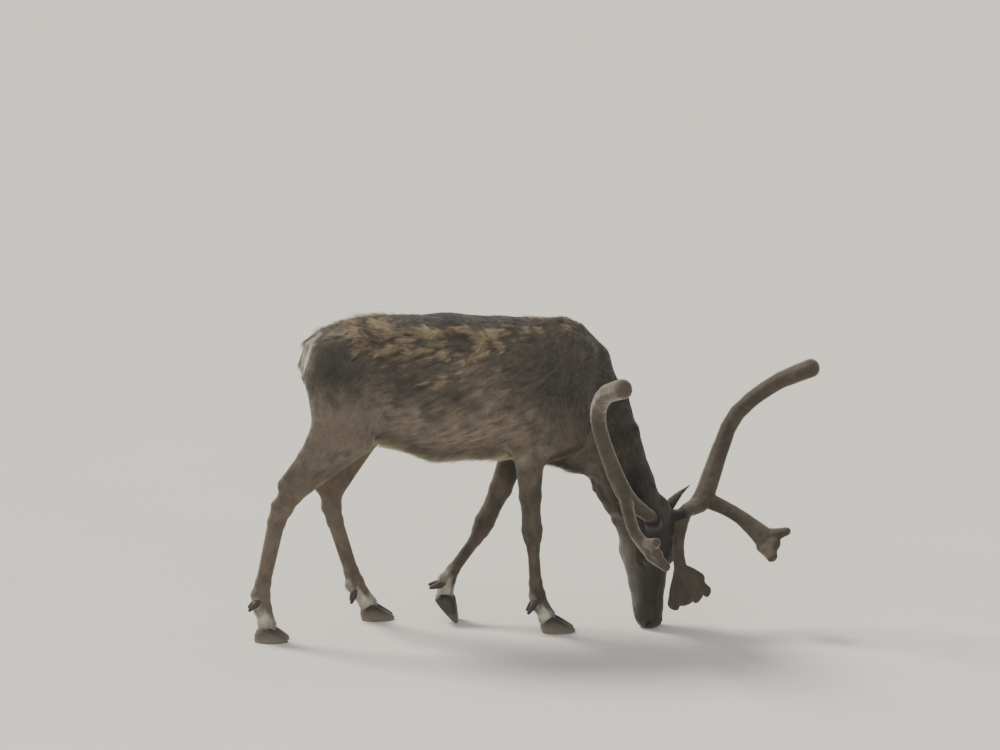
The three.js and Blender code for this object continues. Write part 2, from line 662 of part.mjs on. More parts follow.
function keep(name, manifold, finish) {
  const material = new THREE.MeshStandardMaterial({
    color: COLOUR[finish], roughness: ROUGH[finish], metalness: 0,
  });
  const mesh = new THREE.Mesh(geometryOf(largest(manifold)), material);
  mesh.name = name;
  animal.add(mesh);
}

// Where the body is parted. The shoulders end in front of the forelegs, the head behind the jaw,
// and each leg begins at the elbow or high in the gaskin.
const shoulderCut = cut(vec(487, 0, 755), vec(0.99, 0, -0.14));
const nape = cut(headPoint(-100, 12, 0), headDirection(0.3, -0.95, 0));
const LEG_CUTS = {
  fore_right: {
    plane: cut(vec(0, -66, 575), vec(0, -0.57, -0.82)), low: vec(60, -260, -40), high: vec(318, -8, 700),
    start: [vec(246, -118, 690), vec(246, -120, 622)],
  },
  fore_left: {
    plane: cut(vec(0, 66, 575), vec(0, 0.57, -0.82)), low: vec(-160, 8, -40), high: vec(318, 260, 700),
    start: [vec(250, 118, 690), vec(224, 120, 605)],
  },
  hind_right: {
    plane: cut(vec(-400, -120, 660), vec(-0.729, 0, -0.684)), low: vec(-780, -260, -40), high: vec(-300, -12, 800),
    start: [vec(-376, -120, 687), vec(-460, -121, 605)],
  },
  hind_left: {
    plane: cut(vec(-300, 120, 612), vec(-0.577, 0, -0.819)), low: vec(-560, 12, -40), high: vec(-190, 260, 760),
    start: [vec(-286, 120, 648), vec(-352, 121, 570)],
  },
};

let torso = skin(body, WORLD, [-620, -240, TORSO_FLOOR], [560, 240, 1180], CELL.torso)
  .intersect(shoulderCut.behind)
  .subtract(tail(GAP));
for (const { plane, low, high } of Object.values(LEG_CUTS)) {
  const clear = vec(GAP, GAP, GAP);
  torso = torso.subtract(
    block(low.clone().sub(clear), high.clone().add(clear)).subtract(plane.behind),
  );
}
keep("torso", torso, "coat");
keep("tail", tail(), "coat");

keep("neck", skin(body, WORLD, [430, -220, 250], [800, 180, 1060], CELL.neck)
  .intersect(shoulderCut.ahead).intersect(nape.behind)
  .subtract(ear("left", GAP)).subtract(ear("right", GAP)), "coat");

const PAIRS = { outer: 1, inner: -1 };
for (const [name, foot] of Object.entries(FEET)) {
  const { plane, low, high, start } = LEG_CUTS[name];
  const hand = name.endsWith("right") ? -1 : 1;
  const at = Object.keys(LEG_JOINTS).indexOf(name);
  const joints = LEG_JOINTS[name].map(([x, y, z]) => vec(x, y, z));
  const below = joints.filter((joint) => joint.z < start[1].z);
  const sole = below[below.length - 1].clone().lerp(below[below.length - 2], -0.5);
  const own = flesh(name.startsWith("fore") ? [leg[at], limbs[2 * at]] : [leg[at], hamstrings[at - 2]]);
  let limb = sleeve([...start, ...below, sole], own, low, high)
    .intersect(plane.ahead).intersect(FLOOR)
    .intersect(block(low, high).add(block(vec(-900, -300, -60), vec(600, 300, TORSO_FLOOR - GAP))));
  for (const [place, sign] of Object.entries(PAIRS)) {
    limb = limb.subtract(claw(foot, hand * sign, GAP)).subtract(dewclaw(foot, hand * sign, GAP));
    keep(`claw_${name}_${place}`, claw(foot, hand * sign).intersect(FLOOR), "horn");
    keep(`dewclaw_${name}_${place}`, dewclaw(foot, hand * sign), "horn");
  }
  keep(`leg_${name}`, limb, "coat");
}

let skull = skin(body, HEAD_BOX, [-235, -105, -400], [45, 105, 80], CELL.head)
  .intersect(nape.ahead).intersect(FLOOR).subtract(mouth());
for (const [name, side] of Object.entries(SIDES)) {
  const eye = eyeOf(side);
  const { beam, brow } = antler(name, GAP);
  skull = skull.add(antler(name).collar).add(lid(eye, 10)).add(lid(eye, -8.5))
    .subtract(ball(eye, EYE_RADIUS + GAP)).subtract(slit(eye)).subtract(nostril(side))
    .subtract(ear(name, GAP)).subtract(brow ? beam.add(brow) : beam);
  keep(`eye_${name}`, ball(eye, EYE_RADIUS), "eye");
  keep(`ear_${name}`, ear(name), "face");
}
keep("head", skull, "face");

// An antler is parted above the fork, and at the root of the bez and the brow tine.
for (const [name, side] of Object.entries(SIDES)) {
  const { beam, bez, brow } = antler(name);
  const fork = cut(headPoint(-24, 140, side * 208), headDirection(-0.05, 0.86, side * 0.5));
  const bezRoot = cut(headPoint(24, 50, side * 204), headDirection(0.76, -0.56, side * 0.34));
  const stock = [beam, bez.intersect(bezRoot.behind)];
  if (brow) {
    const browRoot = cut(headPoint(10, -60, side * 43), headDirection(0.12, -0.88, -side * 0.45));
    stock.push(brow.intersect(browRoot.behind));
    keep(`antler_${name}_brow`, brow.intersect(browRoot.ahead), "velvet");
  }
  keep(`antler_${name}_beam_lower`, together(stock).intersect(fork.behind), "velvet");
  keep(`antler_${name}_beam_upper`, together(stock).intersect(fork.ahead), "velvet");
  keep(`antler_${name}_bez`, bez.intersect(bezRoot.ahead), "velvet");
}

export default group;
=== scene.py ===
import math

import bpy
import numpy as np
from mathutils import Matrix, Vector
from mathutils.bvhtree import BVHTree


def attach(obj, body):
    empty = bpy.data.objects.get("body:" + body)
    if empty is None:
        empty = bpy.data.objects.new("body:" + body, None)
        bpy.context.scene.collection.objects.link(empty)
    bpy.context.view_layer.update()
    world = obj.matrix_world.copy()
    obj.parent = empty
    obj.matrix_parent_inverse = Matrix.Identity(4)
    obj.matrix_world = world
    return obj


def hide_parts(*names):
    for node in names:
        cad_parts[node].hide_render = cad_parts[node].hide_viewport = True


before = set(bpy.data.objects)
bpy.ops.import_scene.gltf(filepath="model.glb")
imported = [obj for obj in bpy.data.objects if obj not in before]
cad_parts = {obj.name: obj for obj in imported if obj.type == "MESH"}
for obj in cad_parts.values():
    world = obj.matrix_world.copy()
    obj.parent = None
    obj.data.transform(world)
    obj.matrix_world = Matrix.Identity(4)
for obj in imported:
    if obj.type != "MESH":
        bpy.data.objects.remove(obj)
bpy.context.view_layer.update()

# Skin. The whole hide in one piece, from the muzzle to the tail and down to the hooves. It is a smooth
# union of tapered bones with their muscles, about a coat's depth inside the solids. Places are in
# millimetres from the floor under the middle of the trunk, and HOME lies at the frame's origin.
MM = 0.001
HOME = np.array((272.0, -162.0, 0.0))
LEFT = np.array((0.0, 1.0, 0.0))
UP = np.array((0.0, 0.0, 1.0))
# How softly one span of a chain runs into the next.
KNIT = 14
NECK_TWIST = math.radians(30)
PEDICLES = np.array((726.0, -99.0, 381.0))
HEAD_TURN = math.radians(55)
NOSE_FORWARD = math.radians(6.5)
NOSE_RIGHT = math.radians(5.7)


def unit(v):
    v = np.asarray(v, float)
    return v / np.maximum(np.linalg.norm(v, axis=-1, keepdims=True), 1e-12)


def smoothstep(low, high, x):
    t = np.clip((x - low) / (high - low), 0, 1)
    return t * t * (3 - 2 * t)


def mix(a, b, t):
    return a + (b - a) * t


forehead = np.array((math.cos(HEAD_TURN), -math.sin(HEAD_TURN), 0))
flank = np.array((math.sin(HEAD_TURN), math.cos(HEAD_TURN), 0))
BACK = unit(UP - forehead * math.tan(NOSE_FORWARD) + flank * math.tan(NOSE_RIGHT))
DORSAL = unit(forehead - BACK * (forehead @ BACK))
HEAD_LEFT = np.cross(BACK, DORSAL)


def head_place(dorsal, fore, left):
    return PEDICLES + DORSAL * dorsal - BACK * fore + HEAD_LEFT * left


def head_way(dorsal, fore, left):
    return unit(head_place(dorsal, fore, left) - PEDICLES)


def chain(blend, joints, lie=1, across=LEFT, place=None):
    """Spans from joint to joint. A joint is its place, then its half width and its half depth.

    Blend is how softly the chain runs into the others, and lie is 1 where the hair points down the
    chain and -1 where it points up.
    """
    stations = [(np.array(j[:3], float) if place is None else place(*j[:3]), j[3:]) for j in joints]
    spans = []
    for (start, a), (end, b) in zip(stations, stations[1:]):
        length = np.linalg.norm(end - start)
        axis = (end - start) / length
        side = unit(across - axis * (across @ axis))
        spans.append(dict(start=start, axis=axis, side=side, deep=np.cross(axis, side), length=length,
                          a=a, b=b, lie=lie * axis))
    return dict(blend=blend, spans=spans)


def head_chain(blend, joints, lie=-1):
    return chain(blend, joints, lie, HEAD_LEFT, head_place)


TRUNK = [
    chain(0, [
        (-412, 0, 944, 106, 128), (-330, 0, 905, 146, 190), (-190, 0, 870, 174, 230),
        (-40, 0, 845, 188, 256), (150, 0, 839, 178, 247), (300, 0, 828, 148, 236), (372, 0, 800, 112, 214),
    ], -1),
    chain(50, [(240, 0, 980, 66, 86), (380, 0, 988, 56, 92), (452, 0, 906, 58, 88)], -1),
    chain(60, [(320, 0, 720, 108, 130), (440, 0, 648, 84, 116)], -1),
]
NECK = [
    chain(50, [(388, 0, 826, 108, 174), (467, -6, 738, 98, 151), (525, -14, 641, 86, 120),
               (585, -26, 491, 68, 102)], -1),
    chain(40, [(582, -26, 491, 68, 102), (606, -22, 440, 64, 104), (634, -15, 390, 60, 103),
               (660, -8, 350, 58, 94)], -1, np.array((math.sin(NECK_TWIST), math.cos(NECK_TWIST), 0))),
]
LIMBS = []
for hand in (-1, 1):
    LIMBS += [
        chain(45, [(400, hand * 58, 990, 38, 66), (350, hand * 106, 830, 52, 86),
                   (384, hand * 108, 715, 50, 76), (246, hand * 116, 640, 44, 58)]),
        chain(50, [(-330, hand * 88, 985, 50, 66), (-436, hand * 72, 960, 44, 62)]),
    ]
LEGS = {
    "fore_right": chain(30, [
        (246, -120, 622, 44, 60), (250, -108, 480, 33, 40), (255, -101, 395, 28, 32),
        (257, -100, 360, 31, 36), (259, -98, 330, 28, 31), (262, -96, 292, 19, 22),
        (270, -91, 170, 18.5, 23), (276, -90, 128, 26, 28), (290, -90, 88, 26, 26), (308, -91, 54, 36, 32)]),
    "fore_left": chain(30, [
        (224, 120, 605, 44, 58), (168, 111, 455, 33, 40), (128, 103, 372, 28, 32),
        (112, 99, 342, 31, 35), (97, 94, 312, 28, 30), (80, 89, 282, 19, 22),
        (0, 76, 178, 18.5, 22), (-18, 71, 146, 26, 27), (-26, 67, 112, 26, 26), (-32, 62, 82, 35, 29)]),
    "hind_right": chain(40, [
        (-392, -86, 900, 68, 112), (-348, -120, 714, 52, 86), (-563, -122, 508, 27, 41),
        (-596, -123, 460, 24, 39), (-614, -124, 412, 21.5, 31), (-662, -129, 200, 20.5, 27),
        (-671, -130, 160, 27, 33), (-663, -132, 112, 26, 29), (-652, -134, 62, 36, 32)]),
    "hind_left": chain(40, [
        (-388, 86, 895, 68, 112), (-292, 120, 690, 52, 78), (-418, 122, 450, 27, 40),
        (-417, 122, 400, 24, 35), (-405, 122, 350, 21.5, 29), (-350, 122, 168, 20.5, 26),
        (-339, 122, 130, 27, 32), (-320, 123, 94, 26, 28), (-294, 125, 56, 36, 32)]),
}
HAMSTRINGS = [
    chain(40, [(-452, -74, 905, 48, 60), (-450, -104, 738, 38, 46), (-518, -113, 640, 18, 22),
               (-592, -122, 545, 17, 19)]),
    chain(40, [(-452, 74, 905, 48, 60), (-400, 106, 708, 38, 48), (-432, 114, 588, 18, 24),
               (-462, 122, 480, 17, 19)]),
]
HEAD = [
    head_chain(40, [
        (-74, -14, 0, 64, 70), (-98, 60, 0, 73, 96), (-96, 122, 0, 69, 88),
        (-97, 215, 0, 50, 62), (-98, 300, 0, 48, 50), (-96, 336, 0, 48, 47)]),
    head_chain(26, [
        (-170, 22, 0, 56, 56), (-170, 112, 0, 53, 54), (-146, 225, 0, 38, 36), (-128, 330, 0, 31, 25)]),
]
for hand in (-1, 1):
    HEAD += [
        head_chain(30, [(-124, 30, hand * 42, 24, 60), (-112, 136, hand * 42, 16, 36)]),
        head_chain(22, [(-36, 90, hand * 50, 20, 24), (-44, 128, hand * 51, 18, 20)]),
    ]
COLLARS = [
    head_chain(
        16, [(-34, 26, hand * 36, 32, 31), (-8, -8, hand * 66, 32, 30), (-10, -30, hand * 92, 29, 26)], 1)
    for hand in (-1, 1)
]
TAIL = [chain(14, [(-452, 0, 1034, 22, 14), (-490, 0, 1004, 27, 15), (-511, 0, 940, 26, 14),
                   (-508, 0, 884, 15, 9)])]
BODY = [*TRUNK, *NECK, *LIMBS, *LEGS.values(), *HAMSTRINGS, *HEAD, *COLLARS, *TAIL]


def span_distance(s, p):
    """Roughly how far each point is outside one tapered elliptic rod."""
    away = p - s["start"]
    along = away @ s["axis"]
    t = np.clip(along / s["length"], 0, 1)
    w = mix(s["a"][0], s["b"][0], t)
    d = mix(s["a"][1], s["b"][1], t)
    beyond = along - t * s["length"]
    across = away @ s["side"]
    deep = away @ s["deep"]
    k0 = np.sqrt((across / w) ** 2 + (deep / d) ** 2 + (beyond / np.minimum(w, d)) ** 2)
    k1 = np.sqrt((across / w ** 2) ** 2 + (deep / d ** 2) ** 2 + (beyond / np.minimum(w, d) ** 2) ** 2)
    return k0 * (k0 - 1) / np.maximum(k1, 1e-9)


def smooth_min(a, b, k):
    if k == 0:
        return np.minimum(a, b)
    h = np.maximum(k - np.abs(a - b), 0) / k
    return np.minimum(a, b) - h * h * k / 4


def chain_distance(one, p):
    d = span_distance(one["spans"][0], p)
    for s in one["spans"][1:]:
        d = smooth_min(d, span_distance(s, p), KNIT)
    return d


def flesh(p):
    """How far outside the flesh each point is."""
    whole = chain_distance(BODY[0], p)
    for one in BODY[1:]:
        whole = smooth_min(whole, chain_distance(one, p), one["blend"])
    return whole


def slope(p, step=0.6):
    """The distance to the flesh at each point, and the way in which it grows."""
    here = flesh(p)
    out = np.empty_like(p)
    for k in range(3):
        moved = p.copy()
        moved[:, k] += step
        out[:, k] = (flesh(moved) - here) / step
    return here, out


def settle(p, rounds):
    """Moves points onto the surface of the flesh, by no more than one long step a round."""
    LONGEST_STEP = 8
    LEAST_SLOPE = 0.3
    for _ in range(rounds):
        here, way = slope(p)
        steep = np.maximum((way ** 2).sum(1), LEAST_SLOPE)
        p = p - way * np.clip(here / steep, -LONGEST_STEP, LONGEST_STEP)[:, None]
    return p


def capsules(spans, swell):
    """A closed elliptic rod round each bone, as one mesh."""
    SIDES = 18
    CAP = np.radians((78, 52, 26, 0))
    points, faces = [], []
    for s in spans:
        rows = [(0, math.cos(c), -math.sin(c)) for c in CAP]
        rows += [(1, math.cos(c), math.sin(c)) for c in CAP[::-1]]
        base = len(points)
        for t, shrink, past in rows:
            w, d = (mix(s["a"][k], s["b"][k], t) + swell for k in (0, 1))
            centre = s["start"] + s["axis"] * (t * s["length"] + past * min(w, d))
            for n in range(SIDES):
                turn = 2 * math.pi * n / SIDES
                points.append(centre + s["side"] * (w * shrink * math.cos(turn))
                              + s["deep"] * (d * shrink * math.sin(turn)))
        for r in range(len(rows) - 1):
            for n in range(SIDES):
                a, b = base + r * SIDES + n, base + r * SIDES + (n + 1) % SIDES
                faces.append((a, b, b + SIDES, a + SIDES))
        faces.append(tuple(base + n for n in reversed(range(SIDES))))
        faces.append(tuple(base + (len(rows) - 1) * SIDES + n for n in range(SIDES)))
    return points, faces


def new_piece(name, points, faces):
    mesh = bpy.data.meshes.new(name)
    mesh.from_pydata([tuple((np.asarray(p) - HOME) * MM) for p in points], [], faces)
    made = bpy.data.objects.new(name, mesh)
    bpy.context.scene.collection.objects.link(made)
    return made


def pick(piece):
    bpy.ops.object.select_all(action="DESELECT")
    piece.select_set(True)
    bpy.context.view_layer.objects.active = piece


def apply_all(piece):
    pick(piece)
    for modifier in list(piece.modifiers):
        bpy.ops.object.modifier_apply(modifier=modifier.name)


def points_of(piece):
    """Vertex places in millimetres in the animal's own frame."""
    flat = np.empty(len(piece.data.vertices) * 3)
    piece.data.vertices.foreach_get("co", flat)
    return flat.reshape(-1, 3) / MM + HOME


def place_points(piece, points):
    piece.data.vertices.foreach_set("co", ((points - HOME) * MM).ravel())
    piece.data.update()


def normals_of(piece):
    flat = np.empty(len(piece.data.vertices) * 3)
    piece.data.vertices.foreach_get("normal", flat)
    return flat.reshape(-1, 3)


def edges_of(piece):
    flat = np.empty(len(piece.data.edges) * 2, int)
    piece.data.edges.foreach_get("vertices", flat)
    return flat.reshape(-1, 2)


def relax(points, edges, share):
    """Each point moves toward the middle of its neighbours."""
    count = np.maximum(np.bincount(edges.ravel(), minlength=len(points)), 1)[:, None]
    total = np.zeros_like(points)
    for k in range(3):
        total[:, k] += np.bincount(edges[:, 0], points[edges[:, 1], k], len(points))
        total[:, k] += np.bincount(edges[:, 1], points[edges[:, 0], k], len(points))
    return points + share * (total / count - points)


def subdivide_where(piece, wanted):
    """Splits the faces for whose middles wanted is true."""
    centres = np.empty(len(piece.data.polygons) * 3)
    piece.data.polygons.foreach_get("center", centres)
    chosen = wanted(centres.reshape(-1, 3) / MM + HOME)
    pick(piece)
    bpy.ops.object.mode_set(mode="EDIT")
    bpy.ops.mesh.select_mode(type="FACE")
    bpy.ops.mesh.select_all(action="DESELECT")
    bpy.ops.object.mode_set(mode="OBJECT")
    piece.data.polygons.foreach_set("select", chosen)
    bpy.ops.object.mode_set(mode="EDIT")
    bpy.ops.mesh.subdivide(number_cuts=1)
    bpy.ops.object.mode_set(mode="OBJECT")


def in_head(p):
    """Places as dorsal, toward the nose and left, in the frame of the head."""
    away = p - PEDICLES
    return np.stack((away @ DORSAL, -(away @ BACK), away @ HEAD_LEFT), axis=1)


EYE_RADIUS = 17.65


class Eye:
    """Where an eyeball sits, with the ways out of it, to the nose and to the forehead."""

    def __init__(self, hand):
        self.centre = head_place(-50, 112, hand * 54)
        self.out = head_way(0.22, 0.12, hand * 0.96)
        nose = head_way(0, 1, 0)
        self.to_nose = unit(nose - self.out * (nose @ self.out))
        above = np.cross(self.out, self.to_nose)
        self.above = above if above @ DORSAL > 0 else -above


EYES = {"left": Eye(1), "right": Eye(-1)}
MOUTH = (-118, 300)
NOSTRIL = (-64, 362, 33)

SKIN_CELL = 8.0
ROD_SWELL = 4
skin = new_piece("skin", *capsules([s for one in BODY for s in one["spans"]], ROD_SWELL))
shrink = skin.modifiers.new("one_skin", "REMESH")
shrink.mode = "VOXEL"
shrink.voxel_size = SKIN_CELL * MM
apply_all(skin)


def face_part(p):
    q = in_head(p)
    return (q[:, 1] > -30) & (np.abs(q[:, 2]) < 110) & (q[:, 0] < 40) & (q[:, 0] > -250)


def within_eyes(p, reach):
    return np.any([np.linalg.norm(p - eye.centre, axis=1) < reach for eye in EYES.values()], axis=0)


def eyes_and_muzzle(p):
    return within_eyes(p, 34) | (in_head(p)[:, 1] > 290)


def eyes_and_nostrils(p):
    q = in_head(p)
    near = within_eyes(p, 25)
    for hand in (-1, 1):
        near |= np.linalg.norm(q - np.array((NOSTRIL[0], NOSTRIL[1], hand * NOSTRIL[2])), axis=1) < 24
    return near


spots = settle(points_of(skin), 3)
for _ in range(3):
    spots = settle(relax(spots, edges_of(skin), 0.5), 1)
place_points(skin, spots)
for wanted in (face_part, eyes_and_muzzle, eyes_and_nostrils):
    subdivide_where(skin, wanted)
spots = settle(relax(points_of(skin), edges_of(skin), 0.3), 2)
spots = settle(relax(spots, edges_of(skin), 0.3), 1)
place_points(skin, spots)


def bump(p, centre, sizes, axes):
    """A soft hill round a place, 1 at its top."""
    away = p - centre
    reach = sum(((away @ a) / s) ** 2 for a, s in zip(axes, sizes))
    return np.exp(-reach)


WORLD_AXES = np.eye(3)
HEAD_AXES = (DORSAL, -BACK, HEAD_LEFT)


def form_details(p):
    """How far the finer muscles, bones and folds stand out of the plain form, in millimetres.

    A hill is its place, its reach along each axis and its height.
    """
    rise = np.zeros(len(p))
    q = in_head(p)
    for hand in (-1, 1):
        hills = [
            ((392, hand * 100, 905), (16, 60, 110), 5), ((392, hand * 100, 760), (24, 60, 30), 5),
            ((300, hand * 130, 700), (40, 60, 34), 4), ((-330, hand * 130, 985), (34, 60, 22), 7),
            ((-470, hand * 80, 960), (22, 50, 26), 5), ((-250, hand * 150, 820), (60, 60, 70), -9),
            ((-215, hand * 130, 640), (44, 80, 34), 6), ((215, hand * 140, 800), (26, 70, 110), -5),
            ((445, hand * 70, 760), (26, 50, 90), -5),
        ]
        for centre, sizes, height in hills:
            rise += height * bump(p, np.array(centre, float), sizes, WORLD_AXES)
        ribs = np.sin((p[:, 0] + 0.28 * (p[:, 2] - 800)) / 62 * 2 * math.pi)
        rise += 1.1 * ribs * bump(p, np.array((40.0, hand * 170, 800)), (170, 90, 130), WORLD_AXES)
        for centre, sizes, height in (
            ((-62, 150, hand * 62), (7, 17, 20), -4), ((-84, 130, hand * 66), (9, 40, 20), 4),
            ((-96, 190, hand * 50), (28, 50, 22), -2.5), ((-140, 100, hand * 52), (50, 60, 34), 2.5),
            ((-62, 362, hand * 34), (14, 16, 16), 4), ((-106, 335, hand * 44), (12, 26, 20), 3),
            ((-40, 60, hand * 40), (30, 40, 20), -3),
            ((-52, 250, hand * 26), (10, 60, 10), 2),
        ):
            rise += height * bump(p, head_place(*centre), sizes, HEAD_AXES)
    rise += -2.5 * bump(p, head_place(-46, 250, 0), (20, 60, 8), HEAD_AXES)
    line = mix(MOUTH[0], MOUTH[0] + 6, smoothstep(MOUTH[1], 380, q[:, 1]))
    along = smoothstep(MOUTH[1] - 4, MOUTH[1] + 10, q[:, 1])
    rise -= 2.6 * along * np.exp(-((q[:, 0] - line) / 2.2) ** 2)
    rise += 1.2 * along * np.exp(-((np.abs(q[:, 0] - line) - 6) / 3.5) ** 2)
    return rise


def coat_depth(p):
    """How far the skin lies under the outside of the coat: deep on the body, shallow on head and legs."""
    BODY_DEPTH = 7.0
    FACE_AND_LEG_DEPTH = 1.8
    q = in_head(p)
    head = smoothstep(-60, 60, q[:, 1]) * (np.linalg.norm(p - head_place(-100, 150, 0), axis=1) < 330)
    leg = 1 - smoothstep(420, 600, p[:, 2])
    shallow = np.maximum(head, leg * (p[:, 0] < 480))
    return mix(BODY_DEPTH, FACE_AND_LEG_DEPTH, shallow)


spots = points_of(skin)
way = unit(slope(spots)[1])
spots = spots + way * (form_details(spots) - coat_depth(spots))[:, None]
LID_THICK = 3.4
LID_WIDE = 16.6
LID_HIGH = 10.0
for eye in EYES.values():
    away = spots - eye.centre
    radius = np.linalg.norm(away, axis=1)
    facing = (away @ eye.out) / np.maximum(radius, 1e-9)
    a, b = away @ eye.to_nose, away @ eye.above
    tall = (LID_WIDE ** 2 + LID_HIGH ** 2) / (2 * LID_HIGH)
    slit = np.maximum(np.hypot(a, b + tall - LID_HIGH), np.hypot(a, b - tall + LID_HIGH)) - tall
    crease = 1.6 * np.exp(-((slit - 8.5) / 1.6) ** 2) * (b > 0)
    crease = crease + 0.9 * np.exp(-((slit - 7) / 1.6) ** 2) * (b < 0)
    lid = EYE_RADIUS + mix(-2.2, LID_THICK, smoothstep(-1.6, 0.8, slit)) - crease
    lid += 0.7 * np.exp(-((slit - 2) / 1.4) ** 2)
    near = smoothstep(31, 22, np.hypot(a, b)) * (facing > 0.2)
    inner = np.maximum(lid, radius * smoothstep(10, 24, slit))
    target = np.where(slit < 10, lid, inner)
    drawn = spots + away / radius[:, None] * ((target - radius) * near)[:, None]
    spots = np.where((near > 0)[:, None], drawn, spots)
NOSTRIL_PLACES = []
NOSTRIL_LONG = 12.5
NOSTRIL_TALL = 5.6
NOSTRIL_DEEP = 8.5
for hand in (-1, 1):
    middle = settle(head_place(NOSTRIL[0], NOSTRIL[1], hand * NOSTRIL[2])[None], 4)[0]
    NOSTRIL_PLACES.append(middle)
    outward = head_way(0.35, 0.6, hand * 0.72)
    slant = head_way(-0.8, 0.5, hand * 0.1)
    slant = unit(slant - outward * (slant @ outward))
    away = spots - middle
    u, v = away @ slant, away @ np.cross(outward, slant)
    reach = np.hypot(u / NOSTRIL_LONG, (v + hand * (u * u / 34 - 1.5)) / NOSTRIL_TALL)
    near = np.linalg.norm(away, axis=1) < 26
    pit = (1 - smoothstep(0.5, 1.05, reach)) * near
    rim = np.exp(-((reach - 1.3) / 0.24) ** 2) * near
    spots = spots + outward * (rim * 1.3 - pit * NOSTRIL_DEEP)[:, None]
FLOOR_CLEAR = 0.4
spots[:, 2] = np.maximum(spots[:, 2], FLOOR_CLEAR)
place_points(skin, spots)


# Ears. Each is a leaf of gristle rolled into a cup and furred on both sides, on a short root sunk in
# the skull. The left ear is laid back and the right one is held out. They are joined to the skin.
EAR_LENGTH = 146
EAR_WIDTH = 58
EAR_WALL = 5
EAR_LIE = {"left": (0.12, -0.76, 0.64), "right": (0.1, -0.5, -0.86)}


def loft(rings):
    """Faces between rings of like count, with both ends closed."""
    count = len(rings[0])
    faces = []
    for r in range(len(rings) - 1):
        for n in range(count):
            a, b = r * count + n, r * count + (n + 1) % count
            faces.append((a, b, b + count, a + count))
    last = (len(rings) - 1) * count
    faces.append(tuple(reversed(range(count))))
    faces.append(tuple(last + n for n in range(count)))
    return [p for ring in rings for p in ring], faces


def ear_frame(name):
    """Where an ear grows from, with the ways along it, out of its opening and across it."""
    hand = 1 if name == "left" else -1
    base = head_place(-84, 2, hand * 61)
    axis = head_way(*EAR_LIE[name])
    opening = head_way(0.6, 0.55, hand * 0.35)
    opening = unit(opening - axis * (opening @ axis))
    return base, axis, opening, np.cross(axis, opening)


def ear(name):
    base, axis, opening, wide = ear_frame(name)
    rings = []
    for s in np.linspace(0, 1, 30):
        half = EAR_WIDTH / 2 * math.sin(math.pi * (0.17 + 0.815 * s ** 0.85)) + 0.2
        roll = mix(2, 0.95, s)
        radius = half / math.sin(min(roll, math.pi / 2))
        wall = min(mix(EAR_WALL, 2.2, s), radius * 0.6)
        centre = base + axis * mix(2, EAR_LENGTH, s) + opening * (radius * math.cos(roll) * 0.5 + 4 * s * s)
        ring = []
        turns = np.linspace(-1, 1, 22) * roll
        for r, order in ((radius, 1), (radius - wall, -1)):
            for turn in turns[::order]:
                edge = math.cos(turn / roll * math.pi / 2) ** 0.35 if r < radius else 1
                ring.append(centre + wide * (mix(radius, r, edge) * math.sin(turn))
                            - opening * (mix(radius, r, edge) * math.cos(turn)))
        rings.append(ring)
    return loft(rings)


def ear_root(name):
    base, axis, opening, wide = ear_frame(name)
    rings = []
    for t, size in ((-20, 8), (-14, 17), (-4, 20), (8, 19), (18, 17), (26, 13)):
        centre = base + axis * t
        rings.append([
            centre + wide * (size * math.cos(n * math.pi / 8)) + opening * (size * math.sin(n * math.pi / 8))
            for n in range(16)])
    return loft(rings)


shells = []
for name in ("left", "right"):
    for part, build in (("leaf", ear), ("root", ear_root)):
        shell = new_piece(f"{name}_ear_{part}", *build(name))
        pick(shell)
        bpy.ops.object.mode_set(mode="EDIT")
        bpy.ops.mesh.select_all(action="SELECT")
        bpy.ops.mesh.normals_make_consistent(inside=False)
        bpy.ops.object.mode_set(mode="OBJECT")
        shells.append(shell)
pick(skin)
skin_count = len(skin.data.vertices)
shell_sizes = [(shell.name, len(shell.data.vertices)) for shell in shells]
for shell in shells:
    shell.select_set(True)
bpy.context.view_layer.objects.active = skin
bpy.ops.object.join()
bpy.ops.object.shade_smooth()
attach(skin, "root")
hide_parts("torso", "tail", "neck", "head", "ear_left", "ear_right", "leg_fore_right", "leg_fore_left",
            "leg_hind_right", "leg_hind_left")


# Markings of the summer coat. Dark grey-brown above and on the face and forelegs, with ragged pale
# tufts of the old winter coat along the back, warmer and lighter low on the flanks and thighs, cream
# under the belly, white round the tail and above the hooves. Skin and coat both read them.
def srgb(code):
    channels = np.array([int(code[k:k + 2], 16) for k in (1, 3, 5)]) / 255
    return np.where(channels <= 0.04045, channels / 12.92, ((channels + 0.055) / 1.055) ** 2.4)


COAT_DARK = srgb("#4c4740")
COAT_DUSK = srgb("#383634")
COAT_MID = srgb("#655b4e")
COAT_WARM = srgb("#73685a")
COAT_PALE = srgb("#918169")
COAT_CREAM = srgb("#bdb294")
COAT_WHITE = srgb("#b8b4a6")
FACE_DARK = srgb("#3b3733")
LEG_DARK = srgb("#403b36")
LEG_BROWN = srgb("#655a4d")
NECK_GREY = srgb("#5b554d")


def noise(p, size, seed=0):
    """Smooth random values from 0 to 1, with hills about size apart."""
    q = p / size + seed * 17.31
    cell = np.floor(q)
    f = q - cell
    f = f * f * (3 - 2 * f)
    total = np.zeros(len(p))
    for corner in range(8):
        step = np.array((corner & 1, corner >> 1 & 1, corner >> 2))
        c = (cell + step).astype(np.int64)
        h = (c[:, 0] * 73856093) ^ (c[:, 1] * 19349663) ^ (c[:, 2] * 83492791) ^ (seed * 2654435761)
        h = (h ^ (h >> 13)) * 1274126177 & 0x7FFFFFFF
        h = (h ^ (h >> 15)) & 0xFFFF
        share = np.prod(np.where(step, f, 1 - f), axis=1)
        total += share * h / 0xFFFF
    return total


